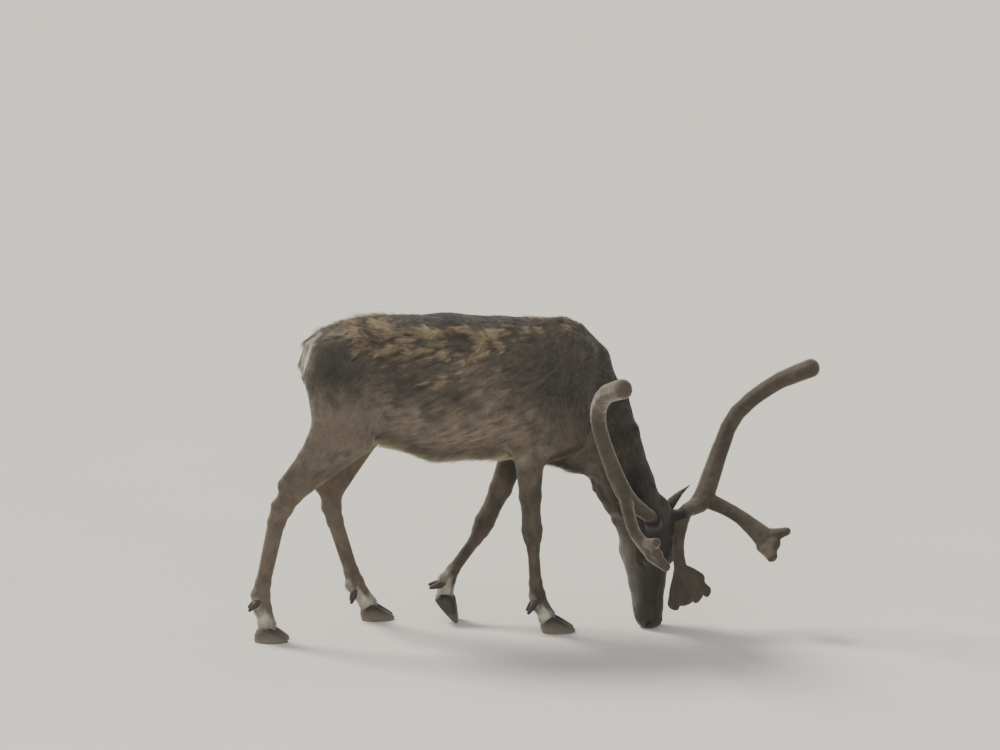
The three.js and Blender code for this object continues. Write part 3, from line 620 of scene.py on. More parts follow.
REGIONS = {
    "trunk": [*TRUNK, *LIMBS], "neck": NECK, "head": [*HEAD, *COLLARS], "tail": TAIL,
    "fore_right": [LEGS["fore_right"]], "fore_left": [LEGS["fore_left"]],
    "hind_right": [LEGS["hind_right"], HAMSTRINGS[0]], "hind_left": [LEGS["hind_left"], HAMSTRINGS[1]],
}


def lie_and_regions(p):
    """The way the hair lies at each point, and the share of each region in it."""
    SPREAD = 16
    way = np.zeros_like(p)
    shares = {}
    crest = np.zeros(len(p))
    for name, chains in REGIONS.items():
        shares[name] = np.zeros(len(p))
        for one in chains:
            for s in one["spans"]:
                weight = np.exp(-np.clip(span_distance(s, p), -30, 200) / SPREAD)
                way += weight[:, None] * s["lie"]
                shares[name] += weight
                if name == "neck":
                    crest += weight * ((p - s["start"]) @ s["deep"]) / s["a"][1]
    total = sum(shares.values())
    crest /= np.maximum(shares["neck"], 1e-9)
    shares = {name: share / total for name, share in shares.items()}
    shares["crest"] = smoothstep(-0.45, 0.55, crest)
    way = unit(way) - UP * (0.45 * (shares["trunk"] + 0.5 * shares["neck"]))[:, None]
    return way, shares


def leg_line(name, z):
    """The x and y of the middle of a leg at the heights z."""
    spans = LEGS[name]["spans"]
    foot = spans[-1]["start"] + spans[-1]["axis"] * spans[-1]["length"]
    rows = np.array([*(s["start"] for s in spans), foot])[::-1]
    return [np.interp(z, rows[:, 2], rows[:, k]) for k in (0, 1)]


def paint(base, colour, share):
    """The base colours with a share of another over them."""
    return base + (colour - base) * np.clip(share, 0, 1)[:, None]


def patch_at(p, x, z, wide, tall):
    """A soft oval patch on both flanks, 1 in its middle."""
    return np.exp(-((p[:, 0] - x) / wide) ** 2 - ((p[:, 2] - z) / tall) ** 2)


# How low the old coat and how high the warm colour reach along the body, and where the fetlocks are.
OLD_COAT_X = (-490, -400, -340, -200, -60, 60, 200, 300, 400, 480)
OLD_COAT_Z = (1040, 1030, 985, 972, 945, 985, 1008, 1035, 1058, 1075)
WARM_X = (-490, -300, -200, 150, 230, 300, 400, 480)
WARM_Z = (865, 822, 805, 815, 765, 720, 735, 700)
FETLOCKS = {"fore_right": 84, "fore_left": 142, "hind_right": 108, "hind_left": 98}


def old_coat(p, shares, way):
    """Where the pale old winter coat still hangs on, in locks along the lie of the hair."""
    x, _, z = p.T
    locks = noise(p - way * (0.6 * (p * way).sum(1))[:, None], 11, 5) - 0.5
    ragged = noise(p, 52, 1) - 0.5
    fine = noise(p, 23, 2) - 0.5
    torn = noise(p * (0.8, 1, 1.2), 13, 6) - 0.5
    above = z - np.interp(x, OLD_COAT_X, OLD_COAT_Z) + 70 * ragged + 40 * fine
    over = smoothstep(-60, 70, above)
    loose = 0.42 * patch_at(p, 60, 900, 170, 60) + 0.3 * patch_at(p, -130, 905, 110, 50)
    field = over * (0.44 + 0.9 * ragged + 0.8 * fine) + loose * (0.45 + 1.2 * fine)
    spine = smoothstep(1052, 1076, z) * smoothstep(-230, -160, x) * smoothstep(270, 200, x)
    withers = smoothstep(1040, 1068, z) * smoothstep(330, 370, x)
    field = np.maximum(field * (1 - spine), withers * (0.3 + 0.9 * fine)) * smoothstep(510, 450, x)
    return smoothstep(0.2, 0.85, field + 0.8 * locks + 0.75 * torn) * smoothstep(0.02, 0.25, field) * (
        shares["trunk"] + shares["neck"])


def on_tail(p):
    """The share of the tail, from its root backward."""
    return smoothstep(9, 3, chain_distance(TAIL[0], p)) * (p[:, 0] < -460)


def markings(p, shares, way):
    """The colour of the hair at each point, painted from the body outward to the feet and the face."""
    x, y, z = p.T
    q = in_head(p)
    ragged = noise(p, 46, 1) - 0.5
    fine = noise(p * (1, 1, 0.6), 21, 2) - 0.5
    broad = noise(p, 130, 3) - 0.5
    thigh = (shares["hind_right"] + shares["hind_left"]) * smoothstep(560, 640, z)
    arm = (shares["fore_right"] + shares["fore_left"]) * smoothstep(590, 650, z)
    barrel = shares["trunk"] + shares["neck"] * smoothstep(520, 430, x)
    trunk = barrel + thigh + arm
    colour = np.tile(COAT_DARK, (len(p), 1))
    flank = 0.35 + 1.3 * patch_at(p, 60, 890, 150, 60)
    colour = paint(colour, COAT_MID, flank * (0.55 + 1.2 * ragged + 0.6 * broad))
    dusk = 0.9 * patch_at(p, -400, 940, 90, 75) + 0.75 * patch_at(p, 330, 880, 120, 130)
    dusk += 0.6 * patch_at(p, -180, 880, 120, 60) + 0.8 * smoothstep(1055, 1080, z)
    colour = paint(colour, COAT_DUSK, dusk * (0.9 + 1.2 * ragged))
    low = np.interp(x, WARM_X, WARM_Z)
    warm = smoothstep(-60, 60, low - z + 130 * ragged + 50 * fine) * (0.8 + 0.5 * broad)
    warm *= 1 - 0.75 * smoothstep(260, 350, x + 60 * ragged)
    blots = smoothstep(0.74, 0.86, noise(p, 30, 7))
    colour = paint(colour, COAT_WARM, warm * trunk)
    colour = paint(colour, COAT_DARK, 0.7 * blots * warm * trunk)
    colour = paint(colour, COAT_PALE, old_coat(p, shares, way))
    hem = 612 + 14 * smoothstep(100, 250, x) + 26 * fine
    belly = smoothstep(22, -14, z - hem) * smoothstep(290, 190, x) * barrel
    inner = smoothstep(120, 60, np.abs(y)) * smoothstep(720, 640, z) * smoothstep(-120, -240, x)
    groin = smoothstep(12, -12, z - 676 + 0.36 * (x + 283) + 30 * fine) * smoothstep(-330, -290, x)
    groin *= smoothstep(-20, -110, x)
    groin *= barrel + 0.25 * thigh * (x > -330)
    cream = np.maximum(np.maximum(belly, inner), groin * 0.95)
    colour = paint(colour, COAT_CREAM, cream * (0.85 + 0.5 * fine))
    round_tail = 0.9 * smoothstep(-430, -460, x) * smoothstep(60, 34, np.abs(y))
    seat = np.maximum(smoothstep(-468, -490, x + 16 * fine), round_tail)
    height = smoothstep(730, 850, z + 60 * ragged) * smoothstep(1052, 1030, z)
    rump = seat * height * smoothstep(82, 58, np.abs(y) + 0.10 * (1000 - z) + 24 * ragged)
    colour = paint(colour, COAT_WHITE, rump)
    tail = on_tail(p)
    colour = paint(colour, COAT_WHITE, tail * 0.9)
    outer = smoothstep(8, -2, x - np.interp(z, (884, 940, 1004, 1034), (-508, -511, -490, -452)))
    top_of_tail = outer * smoothstep(27, 12, np.abs(y) + 26 * fine) * smoothstep(880, 910, z)
    colour = paint(colour, COAT_DARK, tail * top_of_tail * 0.95)
    throat = 1 - shares["crest"]
    grey = shares["neck"] * (0.25 + 0.75 * throat)
    colour = paint(colour, NECK_GREY, grey * (0.75 + 0.7 * broad + 0.5 * ragged))
    colour = paint(colour, COAT_DUSK, shares["neck"] * (1 - throat) * 0.75)
    for name, fetlock in FETLOCKS.items():
        share = shares[name]
        dark = 0.75 if name.startswith("fore") else 0.12
        leg = paint(np.tile(LEG_BROWN, (len(p), 1)), LEG_DARK, dark + 0.9 * ragged + 0.5 * fine)
        colour = paint(colour, leg, share * smoothstep(640, 540, z + 60 * ragged))
        cx, _ = leg_line(name, z)
        front = smoothstep(4, 18, x - cx)
        sock = smoothstep(22, -14, z - fetlock + 30 * front + 40 * fine + 26 * ragged)
        heel = smoothstep(-4, -20, x - cx) * smoothstep(fetlock + 62, fetlock + 30, z)
        colour = paint(colour, COAT_WHITE, share * np.maximum(sock, 0.7 * heel) * (0.7 + 0.6 * fine))
    colour = paint(colour, FACE_DARK, shares["head"] * smoothstep(-60, 30, q[:, 1]))
    cheek = np.exp(-((q[:, 0] + 130) / 40) ** 2 - ((q[:, 1] - 110) / 80) ** 2) * (np.abs(q[:, 2]) > 30)
    colour = paint(colour, COAT_MID, shares["head"] * 0.45 * cheek)
    lips = smoothstep(338, 360, q[:, 1] + 14 * fine) * smoothstep(-92, -106, q[:, 0])
    chin = smoothstep(-150, -166, q[:, 0]) * smoothstep(150, 220, q[:, 1])
    colour = paint(colour, COAT_WARM, shares["head"] * np.maximum(lips * 0.6, chin * 0.45))
    for one in COLLARS:
        colour = paint(colour, COAT_DUSK * 0.7, 0.8 * smoothstep(12, 2, chain_distance(one, p)))
    for eye in EYES.values():
        ring = np.exp(-(np.linalg.norm(p - eye.centre, axis=1) / 25) ** 8)
        colour = paint(colour, COAT_DUSK * 0.45, ring * 0.85)
        brow = np.exp(-(np.linalg.norm(p - eye.centre - eye.above * 26, axis=1) / 15) ** 4)
        colour = paint(colour, COAT_MID, brow * 0.4)
    # Painted shade: each shallow nostril pit is painted nearly black, like the shade inside a deep nostril,
    # over the dark skin that lines it.
    for middle in NOSTRIL_PLACES:
        pit = np.exp(-(np.linalg.norm(p - middle, axis=1) / 12) ** 4)
        colour = paint(colour, COAT_DUSK * 0.4, pit * 0.85)
    combed = noise(p - way * (0.7 * (p * way).sum(1))[:, None], 9, 9) - 0.5
    streak = mix(0.75, 0.3, np.maximum(shares["head"], 1 - barrel - shares["neck"]))
    return colour * (1 + streak * combed)[:, None]


def store_colour(piece, colour):
    layer = piece.data.color_attributes.new("markings", "FLOAT_COLOR", "POINT")
    full = np.ones((len(colour), 4), np.float32)
    full[:, :3] = colour
    layer.data.foreach_set("color", full.ravel())


def store_vector(piece, vectors, name="lie"):
    layer = piece.data.attributes.new(name, "FLOAT_VECTOR", "POINT")
    layer.data.foreach_set("vector", vectors.astype(np.float32).ravel())


spots = points_of(skin)
upright = normals_of(skin)
lie, shares = lie_and_regions(spots)
colours = markings(spots, shares, unit(lie))
ear_shares = {}
at = skin_count
for shell_name, count in shell_sizes:
    part = np.arange(at, at + count)
    at += count
    side = shell_name.split("_")[0]
    base, axis, opening, wide = ear_frame(side)
    lie[part] = axis
    inside = smoothstep(0.2, -0.2, upright[part] @ -opening)
    colours[part] = paint(np.tile(FACE_DARK * 1.25, (count, 1)), COAT_WARM, 0.75 * inside)
    share = ear_shares.setdefault(side, np.zeros(len(spots)))
    if shell_name.endswith("leaf"):
        share[part] = 1
lie = unit(lie - upright * (lie * upright).sum(1)[:, None])
store_colour(skin, colours)
store_vector(skin, lie)


def new_group(name, inputs, outputs):
    """A shader node group with named sockets, and its two end nodes."""
    group = bpy.data.node_groups.new(name, "ShaderNodeTree")
    for label, kind, value in inputs:
        socket = group.interface.new_socket(label, in_out="INPUT", socket_type=kind)
        if value is not None:
            socket.default_value = value
    for label, kind in outputs:
        group.interface.new_socket(label, in_out="OUTPUT", socket_type=kind)
    return group, group.nodes.new("NodeGroupInput"), group.nodes.new("NodeGroupOutput")


def add_node(tree, kind, inputs=(), **settings):
    """A shader node. Each input is set to a value, or linked from the output that is given for it."""
    node = tree.nodes.new(f"ShaderNode{kind}")
    for label, value in settings.items():
        setattr(node, label, value)
    for label, value in dict(inputs).items():
        if isinstance(value, bpy.types.NodeSocket):
            tree.links.new(value, node.inputs[label])
        else:
            node.inputs[label].default_value = value
    return node


def math_node(tree, operation, *values):
    return add_node(tree, "Math", enumerate(values), operation=operation).outputs[0]


def new_material(name, inputs):
    """A material with the given values on its surface shader, its node tree and that shader."""
    material = bpy.data.materials.new(name)
    material.use_nodes = True
    shader = material.node_tree.nodes["Principled BSDF"]
    for label, value in inputs.items():
        shader.inputs[label].default_value = value
    return material, material.node_tree, shader


def hair_grain_group():
    """Short hair that lies flat: fine streaks along the lie of the coat, and clumps of them."""
    SQUEEZE = 0.6
    CLUMP_SCALE = 0.22
    vector, number, colour = "NodeSocketVector", "NodeSocketFloat", "NodeSocketColor"
    tree, ins, outs = new_group(
        "hair_grain",
        [("Place", vector, None), ("Lie", vector, None), ("Colour", colour, None),
         ("Scale", number, 420.0), ("Contrast", number, 0.5)],
        [("Colour", colour), ("Height", number)])
    place, lie, scale = (ins.outputs[label] for label in ("Place", "Lie", "Scale"))
    dot = add_node(tree, "VectorMath", {0: place, 1: lie}, operation="DOT_PRODUCT")
    share = math_node(tree, "MULTIPLY", dot.outputs["Value"], SQUEEZE)
    along = add_node(tree, "VectorMath", {0: lie, "Scale": share}, operation="SCALE")
    squeezed = add_node(tree, "VectorMath", {0: place, 1: along.outputs[0]}, operation="SUBTRACT").outputs[0]
    streaks = add_node(tree, "TexNoise", {"Vector": squeezed, "Scale": scale, "Detail": 3})
    clumps = add_node(tree, "TexNoise", {
        "Vector": squeezed, "Scale": math_node(tree, "MULTIPLY", scale, CLUMP_SCALE)})
    height = math_node(tree, "ADD", math_node(tree, "MULTIPLY", streaks.outputs["Fac"], 0.6),
                       math_node(tree, "MULTIPLY", clumps.outputs["Fac"], 0.4))
    swing = math_node(tree, "MULTIPLY", math_node(tree, "SUBTRACT", height, 0.5), ins.outputs["Contrast"])
    bright = math_node(tree, "ADD", math_node(tree, "MULTIPLY", swing, 3.0), 1.0)
    tint = add_node(tree, "VectorMath", {0: ins.outputs["Colour"], "Scale": bright}, operation="SCALE")
    tree.links.new(height, outs.inputs["Height"])
    tree.links.new(tint.outputs[0], outs.inputs["Colour"])
    return tree


HAIR_GRAIN = hair_grain_group()


def fur_material(name, scale, contrast, bump_depth, roughness, sheen):
    material, tree, shader = new_material(name, {
        "Roughness": roughness, "Sheen Weight": sheen, "Sheen Roughness": 0.5, "Specular IOR Level": 0.25})
    colour = add_node(tree, "Attribute", attribute_name="markings")
    lie_of_hair = add_node(tree, "Attribute", attribute_name="lie")
    place = add_node(tree, "TexCoord")
    grain = add_node(tree, "Group", node_tree=HAIR_GRAIN, inputs={
        "Scale": scale, "Contrast": contrast, "Colour": colour.outputs["Color"],
        "Lie": lie_of_hair.outputs["Vector"], "Place": place.outputs["Object"]})
    tree.links.new(grain.outputs["Colour"], shader.inputs["Base Color"])
    if bump_depth:
        relief = add_node(tree, "Bump", {
            "Strength": 0.8, "Distance": bump_depth, "Height": grain.outputs["Height"]})
        tree.links.new(relief.outputs["Normal"], shader.inputs["Normal"])
    return material


skin.data.materials.clear()
skin.data.materials.append(fur_material("short_coat", 420, 0.5, 0.0012, 0.8, 0.25))


# Hooves. Each foot has two broad claws of dark horn, worn pale and dusty at the sole, and two
# dewclaws behind the fetlock. They are copies of the solids with their edges smoothed, and stand
# against the skin of the leg.
def copy_of(nodes, name, swell):
    """The given solids as one new piece, each grown a little so that they run into each other."""
    copies = []
    for node in nodes:
        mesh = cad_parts[node].data.copy()
        made = bpy.data.objects.new(name, mesh)
        bpy.context.scene.collection.objects.link(made)
        pick(made)
        bpy.ops.object.mode_set(mode="EDIT")
        bpy.ops.mesh.select_all(action="SELECT")
        bpy.ops.mesh.remove_doubles(threshold=1e-5)
        bpy.ops.object.mode_set(mode="OBJECT")
        place_points(made, points_of(made) + normals_of(made) * swell)
        copies.append(made)
    bpy.ops.object.select_all(action="DESELECT")
    for made in copies:
        made.select_set(True)
    bpy.context.view_layer.objects.active = copies[0]
    if len(copies) > 1:
        bpy.ops.object.join()
    piece = bpy.context.view_layer.objects.active
    piece.name = name
    piece.data.name = name
    piece.data.materials.clear()
    return piece


def smooth_copy(nodes, name, swell, cell, rounds):
    """A copy of solids as one even surface, smoothed by shares that keep it from shrinking."""
    SMOOTHING = (0.6, -0.62, 0.5)
    piece = copy_of(nodes, name, swell)
    shell = piece.modifiers.new("one_surface", "REMESH")
    shell.mode = "VOXEL"
    shell.voxel_size = cell * MM
    apply_all(piece)
    edges = edges_of(piece)
    spots = points_of(piece)
    for share in SMOOTHING * rounds:
        spots = relax(spots, edges, share)
    place_points(piece, spots)
    pick(piece)
    bpy.ops.object.shade_smooth()
    return piece


HOOF_CELL = 2.1
HOOF_ROUNDS = 7
hooves = {}
FEET_MIDDLE = {}
for foot in ("fore_right", "fore_left", "hind_right", "hind_left"):
    nodes = [f"{kind}_{foot}_{place}" for kind in ("claw", "dewclaw") for place in ("outer", "inner")]
    piece = smooth_copy(nodes, f"hooves_{foot}", 0, HOOF_CELL, HOOF_ROUNDS)
    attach(piece, "root")
    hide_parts(*nodes)
    hooves[foot] = piece
    FEET_MIDDLE[foot] = points_of(piece).mean(0)


def rgba(code):
    return (*srgb(code), 1)


def blend_colours(tree, share, a, b):
    return add_node(tree, "Mix", {"Factor": share, "A": a, "B": b}, data_type="RGBA").outputs["Result"]


def horn_material():
    """Dark horn with growth rings and scratches, pale and dusty near the floor."""
    DUSTY_TO = 0.045
    material, tree, shader = new_material("hoof_horn", {})
    place = add_node(tree, "TexCoord").outputs["Object"]
    parts = add_node(tree, "SeparateXYZ", {0: place})
    rings = add_node(tree, "TexWave", {
        "Vector": place, "Scale": 70, "Distortion": 5, "Detail": 2, "Detail Scale": 0.6},
        wave_type="BANDS", bands_direction="Z").outputs["Fac"]
    scratches = add_node(tree, "TexNoise", {"Vector": place, "Scale": 260, "Detail": 5}).outputs["Fac"]
    wear = add_node(tree, "MapRange", {
        "Value": parts.outputs["Z"], "From Min": 0.0, "From Max": DUSTY_TO, "To Min": 1.0, "To Max": 0.0})
    dust = math_node(tree, "MULTIPLY", wear.outputs[0], math_node(tree, "ADD", scratches, 0.1))
    horn = blend_colours(tree, rings, rgba("#302b27"), rgba("#3d3731"))
    tree.links.new(blend_colours(tree, dust, horn, rgba("#8b8170")), shader.inputs["Base Color"])
    rough = add_node(tree, "MapRange", {"Value": scratches, "To Min": 0.34, "To Max": 0.75})
    tree.links.new(rough.outputs[0], shader.inputs["Roughness"])
    height = math_node(tree, "ADD", rings, math_node(tree, "MULTIPLY", scratches, 0.5))
    relief = add_node(tree, "Bump", {"Strength": 0.4, "Distance": 0.0004, "Height": height})
    tree.links.new(relief.outputs["Normal"], shader.inputs["Normal"])
    return material


horn = horn_material()
for piece in hooves.values():
    piece.data.materials.append(horn)


# Eyes. They are wet dark balls with a slight bulge in front and a level pupil, each of one piece, and
# sit in sockets of the skin between the lids. The iris is painted by where it lies on the ball.
BULGE = 1.0
eyes = {}
for name, eye in EYES.items():
    bpy.ops.object.select_all(action="DESELECT")
    bpy.ops.mesh.primitive_uv_sphere_add(
        segments=48, ring_count=32, radius=EYE_RADIUS * MM, location=(0, 0, 0))
    piece = bpy.context.active_object
    piece.name = f"eye_{name}_ball"
    ball = np.empty(len(piece.data.vertices) * 3)
    piece.data.vertices.foreach_get("co", ball)
    ball = ball.reshape(-1, 3) / MM
    off = np.hypot(ball[:, 0], ball[:, 1])
    ball[:, 2] += BULGE * smoothstep(14, 0, off) * (ball[:, 2] > 0)
    turned = ball[:, :1] * eye.to_nose + ball[:, 1:2] * eye.above + ball[:, 2:] * eye.out
    place_points(piece, eye.centre + turned)
    pick(piece)
    bpy.ops.object.mode_set(mode="EDIT")
    bpy.ops.mesh.select_all(action="SELECT")
    bpy.ops.mesh.normals_make_consistent(inside=False)
    bpy.ops.object.mode_set(mode="OBJECT")
    bpy.ops.object.shade_smooth()
    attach(piece, "root")
    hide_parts(f"eye_{name}")
    store_vector(piece, ball, "front")
    eyes[name] = piece


def eye_material():
    """A brown iris with fibres, a black rim round it and a level pupil, under a wet coat."""
    PUPIL_HALF_LONG = 6.2
    PUPIL_HALF_TALL = 3.0
    material, tree, shader = new_material("wet_eye", {
        "Roughness": 0.22, "Specular IOR Level": 0.35, "Coat Weight": 0.3, "Coat Roughness": 0.03})
    front = add_node(tree, "Attribute", attribute_name="front").outputs["Vector"]
    parts = add_node(tree, "SeparateXYZ", {0: front})

    def off_middle(half_long, half_tall):
        u = math_node(tree, "MULTIPLY", parts.outputs["X"], 1 / half_long)
        v = math_node(tree, "MULTIPLY", parts.outputs["Y"], 1 / half_tall)
        both = math_node(tree, "ADD", math_node(tree, "MULTIPLY", u, u), math_node(tree, "MULTIPLY", v, v))
        return math_node(tree, "SQRT", both)

    fibres = add_node(tree, "TexNoise", {"Vector": front, "Scale": 0.7, "Detail": 4}).outputs["Fac"]
    colour = blend_colours(tree, fibres, rgba("#140f0c"), rgba("#2e2118"))
    rim = (off_middle(1, 1), 11.0, 12.6, "#0d0b0a")
    pupil = (off_middle(PUPIL_HALF_LONG, PUPIL_HALF_TALL), 1.12, 0.92, "#020203")
    for value, low, high, dark in (rim, pupil):
        share = add_node(tree, "MapRange", {"Value": value, "From Min": low, "From Max": high})
        colour = blend_colours(tree, share.outputs[0], colour, rgba(dark))
    tree.links.new(colour, shader.inputs["Base Color"])
    return material


wet_eye = eye_material()
for piece in eyes.values():
    piece.data.materials.append(wet_eye)


# Coat. Thousands of thin tapered tufts rooted in the skin. They lie back along the body and down the
# legs, are shortest on the face and feet, and stand out in ragged shocks where the old coat is shed.
random = np.random.default_rng(7)


def triangles_of(piece):
    piece.data.calc_loop_triangles()
    flat = np.empty(len(piece.data.loop_triangles) * 3, int)
    piece.data.loop_triangles.foreach_get("vertices", flat)
    return flat.reshape(-1, 3)


def scatter(points, triangles, density, wanted):
    """Random roots over a surface: the triangle of each, and its three shares."""
    a, b, c = (points[triangles[:, k]] for k in range(3))
    area = np.linalg.norm(np.cross(b - a, c - a), axis=1) / 2 * density[triangles].mean(1)
    chosen = random.choice(len(triangles), wanted, p=area / area.sum())
    u, v = random.random((2, wanted))
    flip = u + v > 1
    u, v = np.where(flip, 1 - u, u), np.where(flip, 1 - v, v)
    return triangles[chosen], np.stack((1 - u - v, u, v), axis=1)


def spread(values, corners, shares_of):
    return np.einsum("ij...,ij->i...", values[corners], shares_of)


def build_tufts(
        name, roots, normal, way, length, width, lift, colour, patch, stations, root_tint=0.84, sink=0.8):
    """Tapered three-sided tufts, each a closed shape, as one piece. They take the light as the skin does."""
    TIP_TINT = 1.12
    ROUND = 0.4
    count = len(roots)
    across = unit(np.cross(normal, way))
    rings, tints, facing = [], [], []
    for s in stations:
        rise = lift * (math.sin(math.pi * 0.5 * s ** 0.8) - s * s * 0.25)
        centre = roots + way * (length * s)[:, None] + normal * (length * rise - sink * (1 - s) ** 4)[:, None]
        half = width * (1 - s ** 1.6)
        for turn in (90, 210, 330):
            c, d = math.cos(math.radians(turn)), math.sin(math.radians(turn))
            rings.append(centre + across * (half * c)[:, None] + normal * (half * 0.36 * d)[:, None])
            tints.append(colour * mix(root_tint, TIP_TINT, s))
            facing.append(unit(normal + ROUND * c * across))
    tip = roots + way * length[:, None] + normal * (length * lift * 0.75)[:, None]
    points = np.stack([*rings, tip], axis=1)
    tint = np.stack([*tints, colour * TIP_TINT], axis=1)
    facing = np.stack([*facing, normal], axis=1)
    size = points.shape[1]
    faces = []
    for r in range(len(stations) - 1):
        for n in range(3):
            a, b = 3 * r + n, 3 * r + (n + 1) % 3
            faces += [(a, b, b + 3), (a, b + 3, a + 3)]
    last = 3 * (len(stations) - 1)
    faces += [(last + n, last + (n + 1) % 3, size - 1) for n in range(3)]
    faces += [(0, 2, 1)]
    triangles = (np.array(faces)[None] + size * np.arange(count)[:, None, None]).reshape(-1, 3)
    mesh = bpy.data.meshes.new(name)
    mesh.vertices.add(count * size)
    mesh.vertices.foreach_set("co", ((points - HOME) * MM).astype(np.float32).ravel())
    mesh.loops.add(triangles.size)
    mesh.loops.foreach_set("vertex_index", triangles.ravel())
    mesh.polygons.add(len(triangles))
    mesh.polygons.foreach_set("loop_start", np.arange(0, triangles.size, 3))
    mesh.update(calc_edges=True)
    PATCH = 0.003
    corners = np.zeros((size, 2))
    for r, s in enumerate(stations):
        for n in range(3):
            corners[3 * r + n] = (PATCH * (n / 2) * (1 - s), PATCH * s)
    corners[-1] = (PATCH / 2, PATCH)
    flat = (patch[:, None] + corners[None]).reshape(-1, 2)[triangles.ravel()]
    mesh.uv_layers.new(name="OFBake").data.foreach_set("uv", flat.astype(np.float32).ravel())
    piece = bpy.data.objects.new(name, mesh)
    bpy.context.scene.collection.objects.link(piece)
    store_colour(piece, tint.reshape(-1, 3))
    store_vector(piece, np.repeat(way, size, axis=0))
    mesh.shade_smooth()
    mesh.normals_split_custom_set_from_vertices(facing.reshape(-1, 3).tolist())
    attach(piece, "root")
    return piece


CHARTS = [
    "trunk", "neck", "head", "tail", "fore_right", "fore_left", "hind_right", "hind_left", "left", "right"]
CHARTS_IN_A_ROW = 4
CHART_WIDE = 0.245
CHART_TALL = 0.325
CHART_FILLED = 0.9


def unwrapped(p, chart):
    """Where points lie on the skin unrolled region by region: round it and along it."""
    out = np.zeros((len(p), 2))
    q = in_head(p)
    for number, name in enumerate(CHARTS):
        here = chart == number
        if not here.any():
            continue
        x, y, z = p[here].T
        if name == "head":
            around, along = np.arctan2(q[here, 2], q[here, 0] + 105), (q[here, 1] + 80) / 480
        elif name == "trunk":
            around, along = np.arctan2(y, z - 840), (x + 560) / 1080
        elif name == "neck":
            line = unit(np.array((660 - 388, -8, 350 - 826.0)))
            away = p[here] - np.array((388, 0, 826.0))
            far = away @ line
            around, along = np.arctan2(away @ LEFT, away @ np.cross(line, LEFT)), (far + 200) / 850
        elif name == "tail":
            around, along = np.arctan2(y, x + 500), (z - 850) / 220
        elif name in ("left", "right"):
            base, axis, opening, wide = ear_frame(name)
            away = p[here] - base
            around, along = np.arctan2(away @ wide, away @ opening), (away @ axis + 20) / 170
        else:
            cx, cy = leg_line(name, z)
            around, along = np.arctan2(y - cy, x - cx), z / 960
        row, column = divmod(number, CHARTS_IN_A_ROW)
        out[here, 0] = 0.01 + (column + 0.02 + CHART_FILLED * (around / (2 * math.pi) + 0.5)) * CHART_WIDE
        out[here, 1] = 0.01 + (row + 0.02 + CHART_FILLED * np.clip(along, 0, 1)) * CHART_TALL
    return out


triangles = triangles_of(skin)
x, _, z = spots.T
q = in_head(spots)
leg_share = sum(shares[name] for name in LEGS)
ear_share = ear_shares["left"] + ear_shares["right"]
head_share = shares["head"] * (1 - ear_share) * smoothstep(-70, 10, q[:, 1])
low_leg = leg_share * smoothstep(620, 480, z)
tail_share = on_tail(spots)
pale_share = old_coat(spots, shares, lie) * (1 - head_share)
under = smoothstep(-0.45, -0.85, upright[:, 2]) * (1 - leg_share) * (1 - head_share) * (x < 480)
collar_ends = [one["spans"][-1]["start"] for one in COLLARS]
collar = np.maximum(*(smoothstep(9, 3, chain_distance(one, spots)) for one in COLLARS))
collar *= np.maximum(*(smoothstep(40, 15, np.linalg.norm(spots - end, axis=1)) for end in collar_ends))
bare = np.maximum(low_leg, np.maximum(head_share, ear_share))

# Lengths of the hair.
BODY_HAIR = 17
OLD_COAT_MORE = 13
BELLY_MORE = 13
NECK_MORE = 4
TAIL_HAIR = 30
LOW_LEG_HAIR = 9
CHEEK_HAIR = 9
MUZZLE_HAIR = 5
EAR_HAIR = 11
COLLAR_HAIR = 17
length = BODY_HAIR + OLD_COAT_MORE * pale_share + BELLY_MORE * under + NECK_MORE * shares["neck"]
length = mix(length, TAIL_HAIR, tail_share)
length = mix(length, LOW_LEG_HAIR, low_leg)
length = mix(length, mix(CHEEK_HAIR, MUZZLE_HAIR, smoothstep(40, 300, q[:, 1])), head_share)
length = mix(length, EAR_HAIR, ear_share)
length = mix(length, COLLAR_HAIR, collar)
shaggy = np.zeros(len(spots))
for name, fetlock in FETLOCKS.items():
    cx, _ = leg_line(name, z)
    above_hoof = shares[name] * smoothstep(fetlock - 10, fetlock - 46, z)
    behind = shares[name] * smoothstep(0, -18, x - cx) * np.exp(-((z - fetlock - 16) / 26) ** 2)
    length = length + 11 * above_hoof + 16 * behind
    shaggy = np.maximum(shaggy, np.maximum(above_hoof, behind))
width = mix(0.9, 0.55, bare) + 0.2 * pale_share + 0.3 * tail_share
lift = 0.06 + 0.28 * pale_share + 0.34 * under + 0.06 * smoothstep(1000, 1060, z)
lift = mix(lift, 0.06, np.maximum(low_leg, head_share))
lift = mix(mix(lift, 0.3, ear_share), 0.12, tail_share) + 0.28 * collar
density = 1.25 + 0.3 * pale_share + 0.3 * low_leg + 1.6 * head_share + 1.8 * ear_share + 1.2 * tail_share
lift = lift + 0.14 * shaggy
density += 0.8 * shaggy
density *= z > 3
for eye in EYES.values():
    density *= 1 - np.exp(-(np.linalg.norm(spots - eye.centre, axis=1) / 22) ** 8)
for middle in NOSTRIL_PLACES:
    density *= 1 - np.exp(-(np.linalg.norm(spots - middle, axis=1) / 10) ** 4)

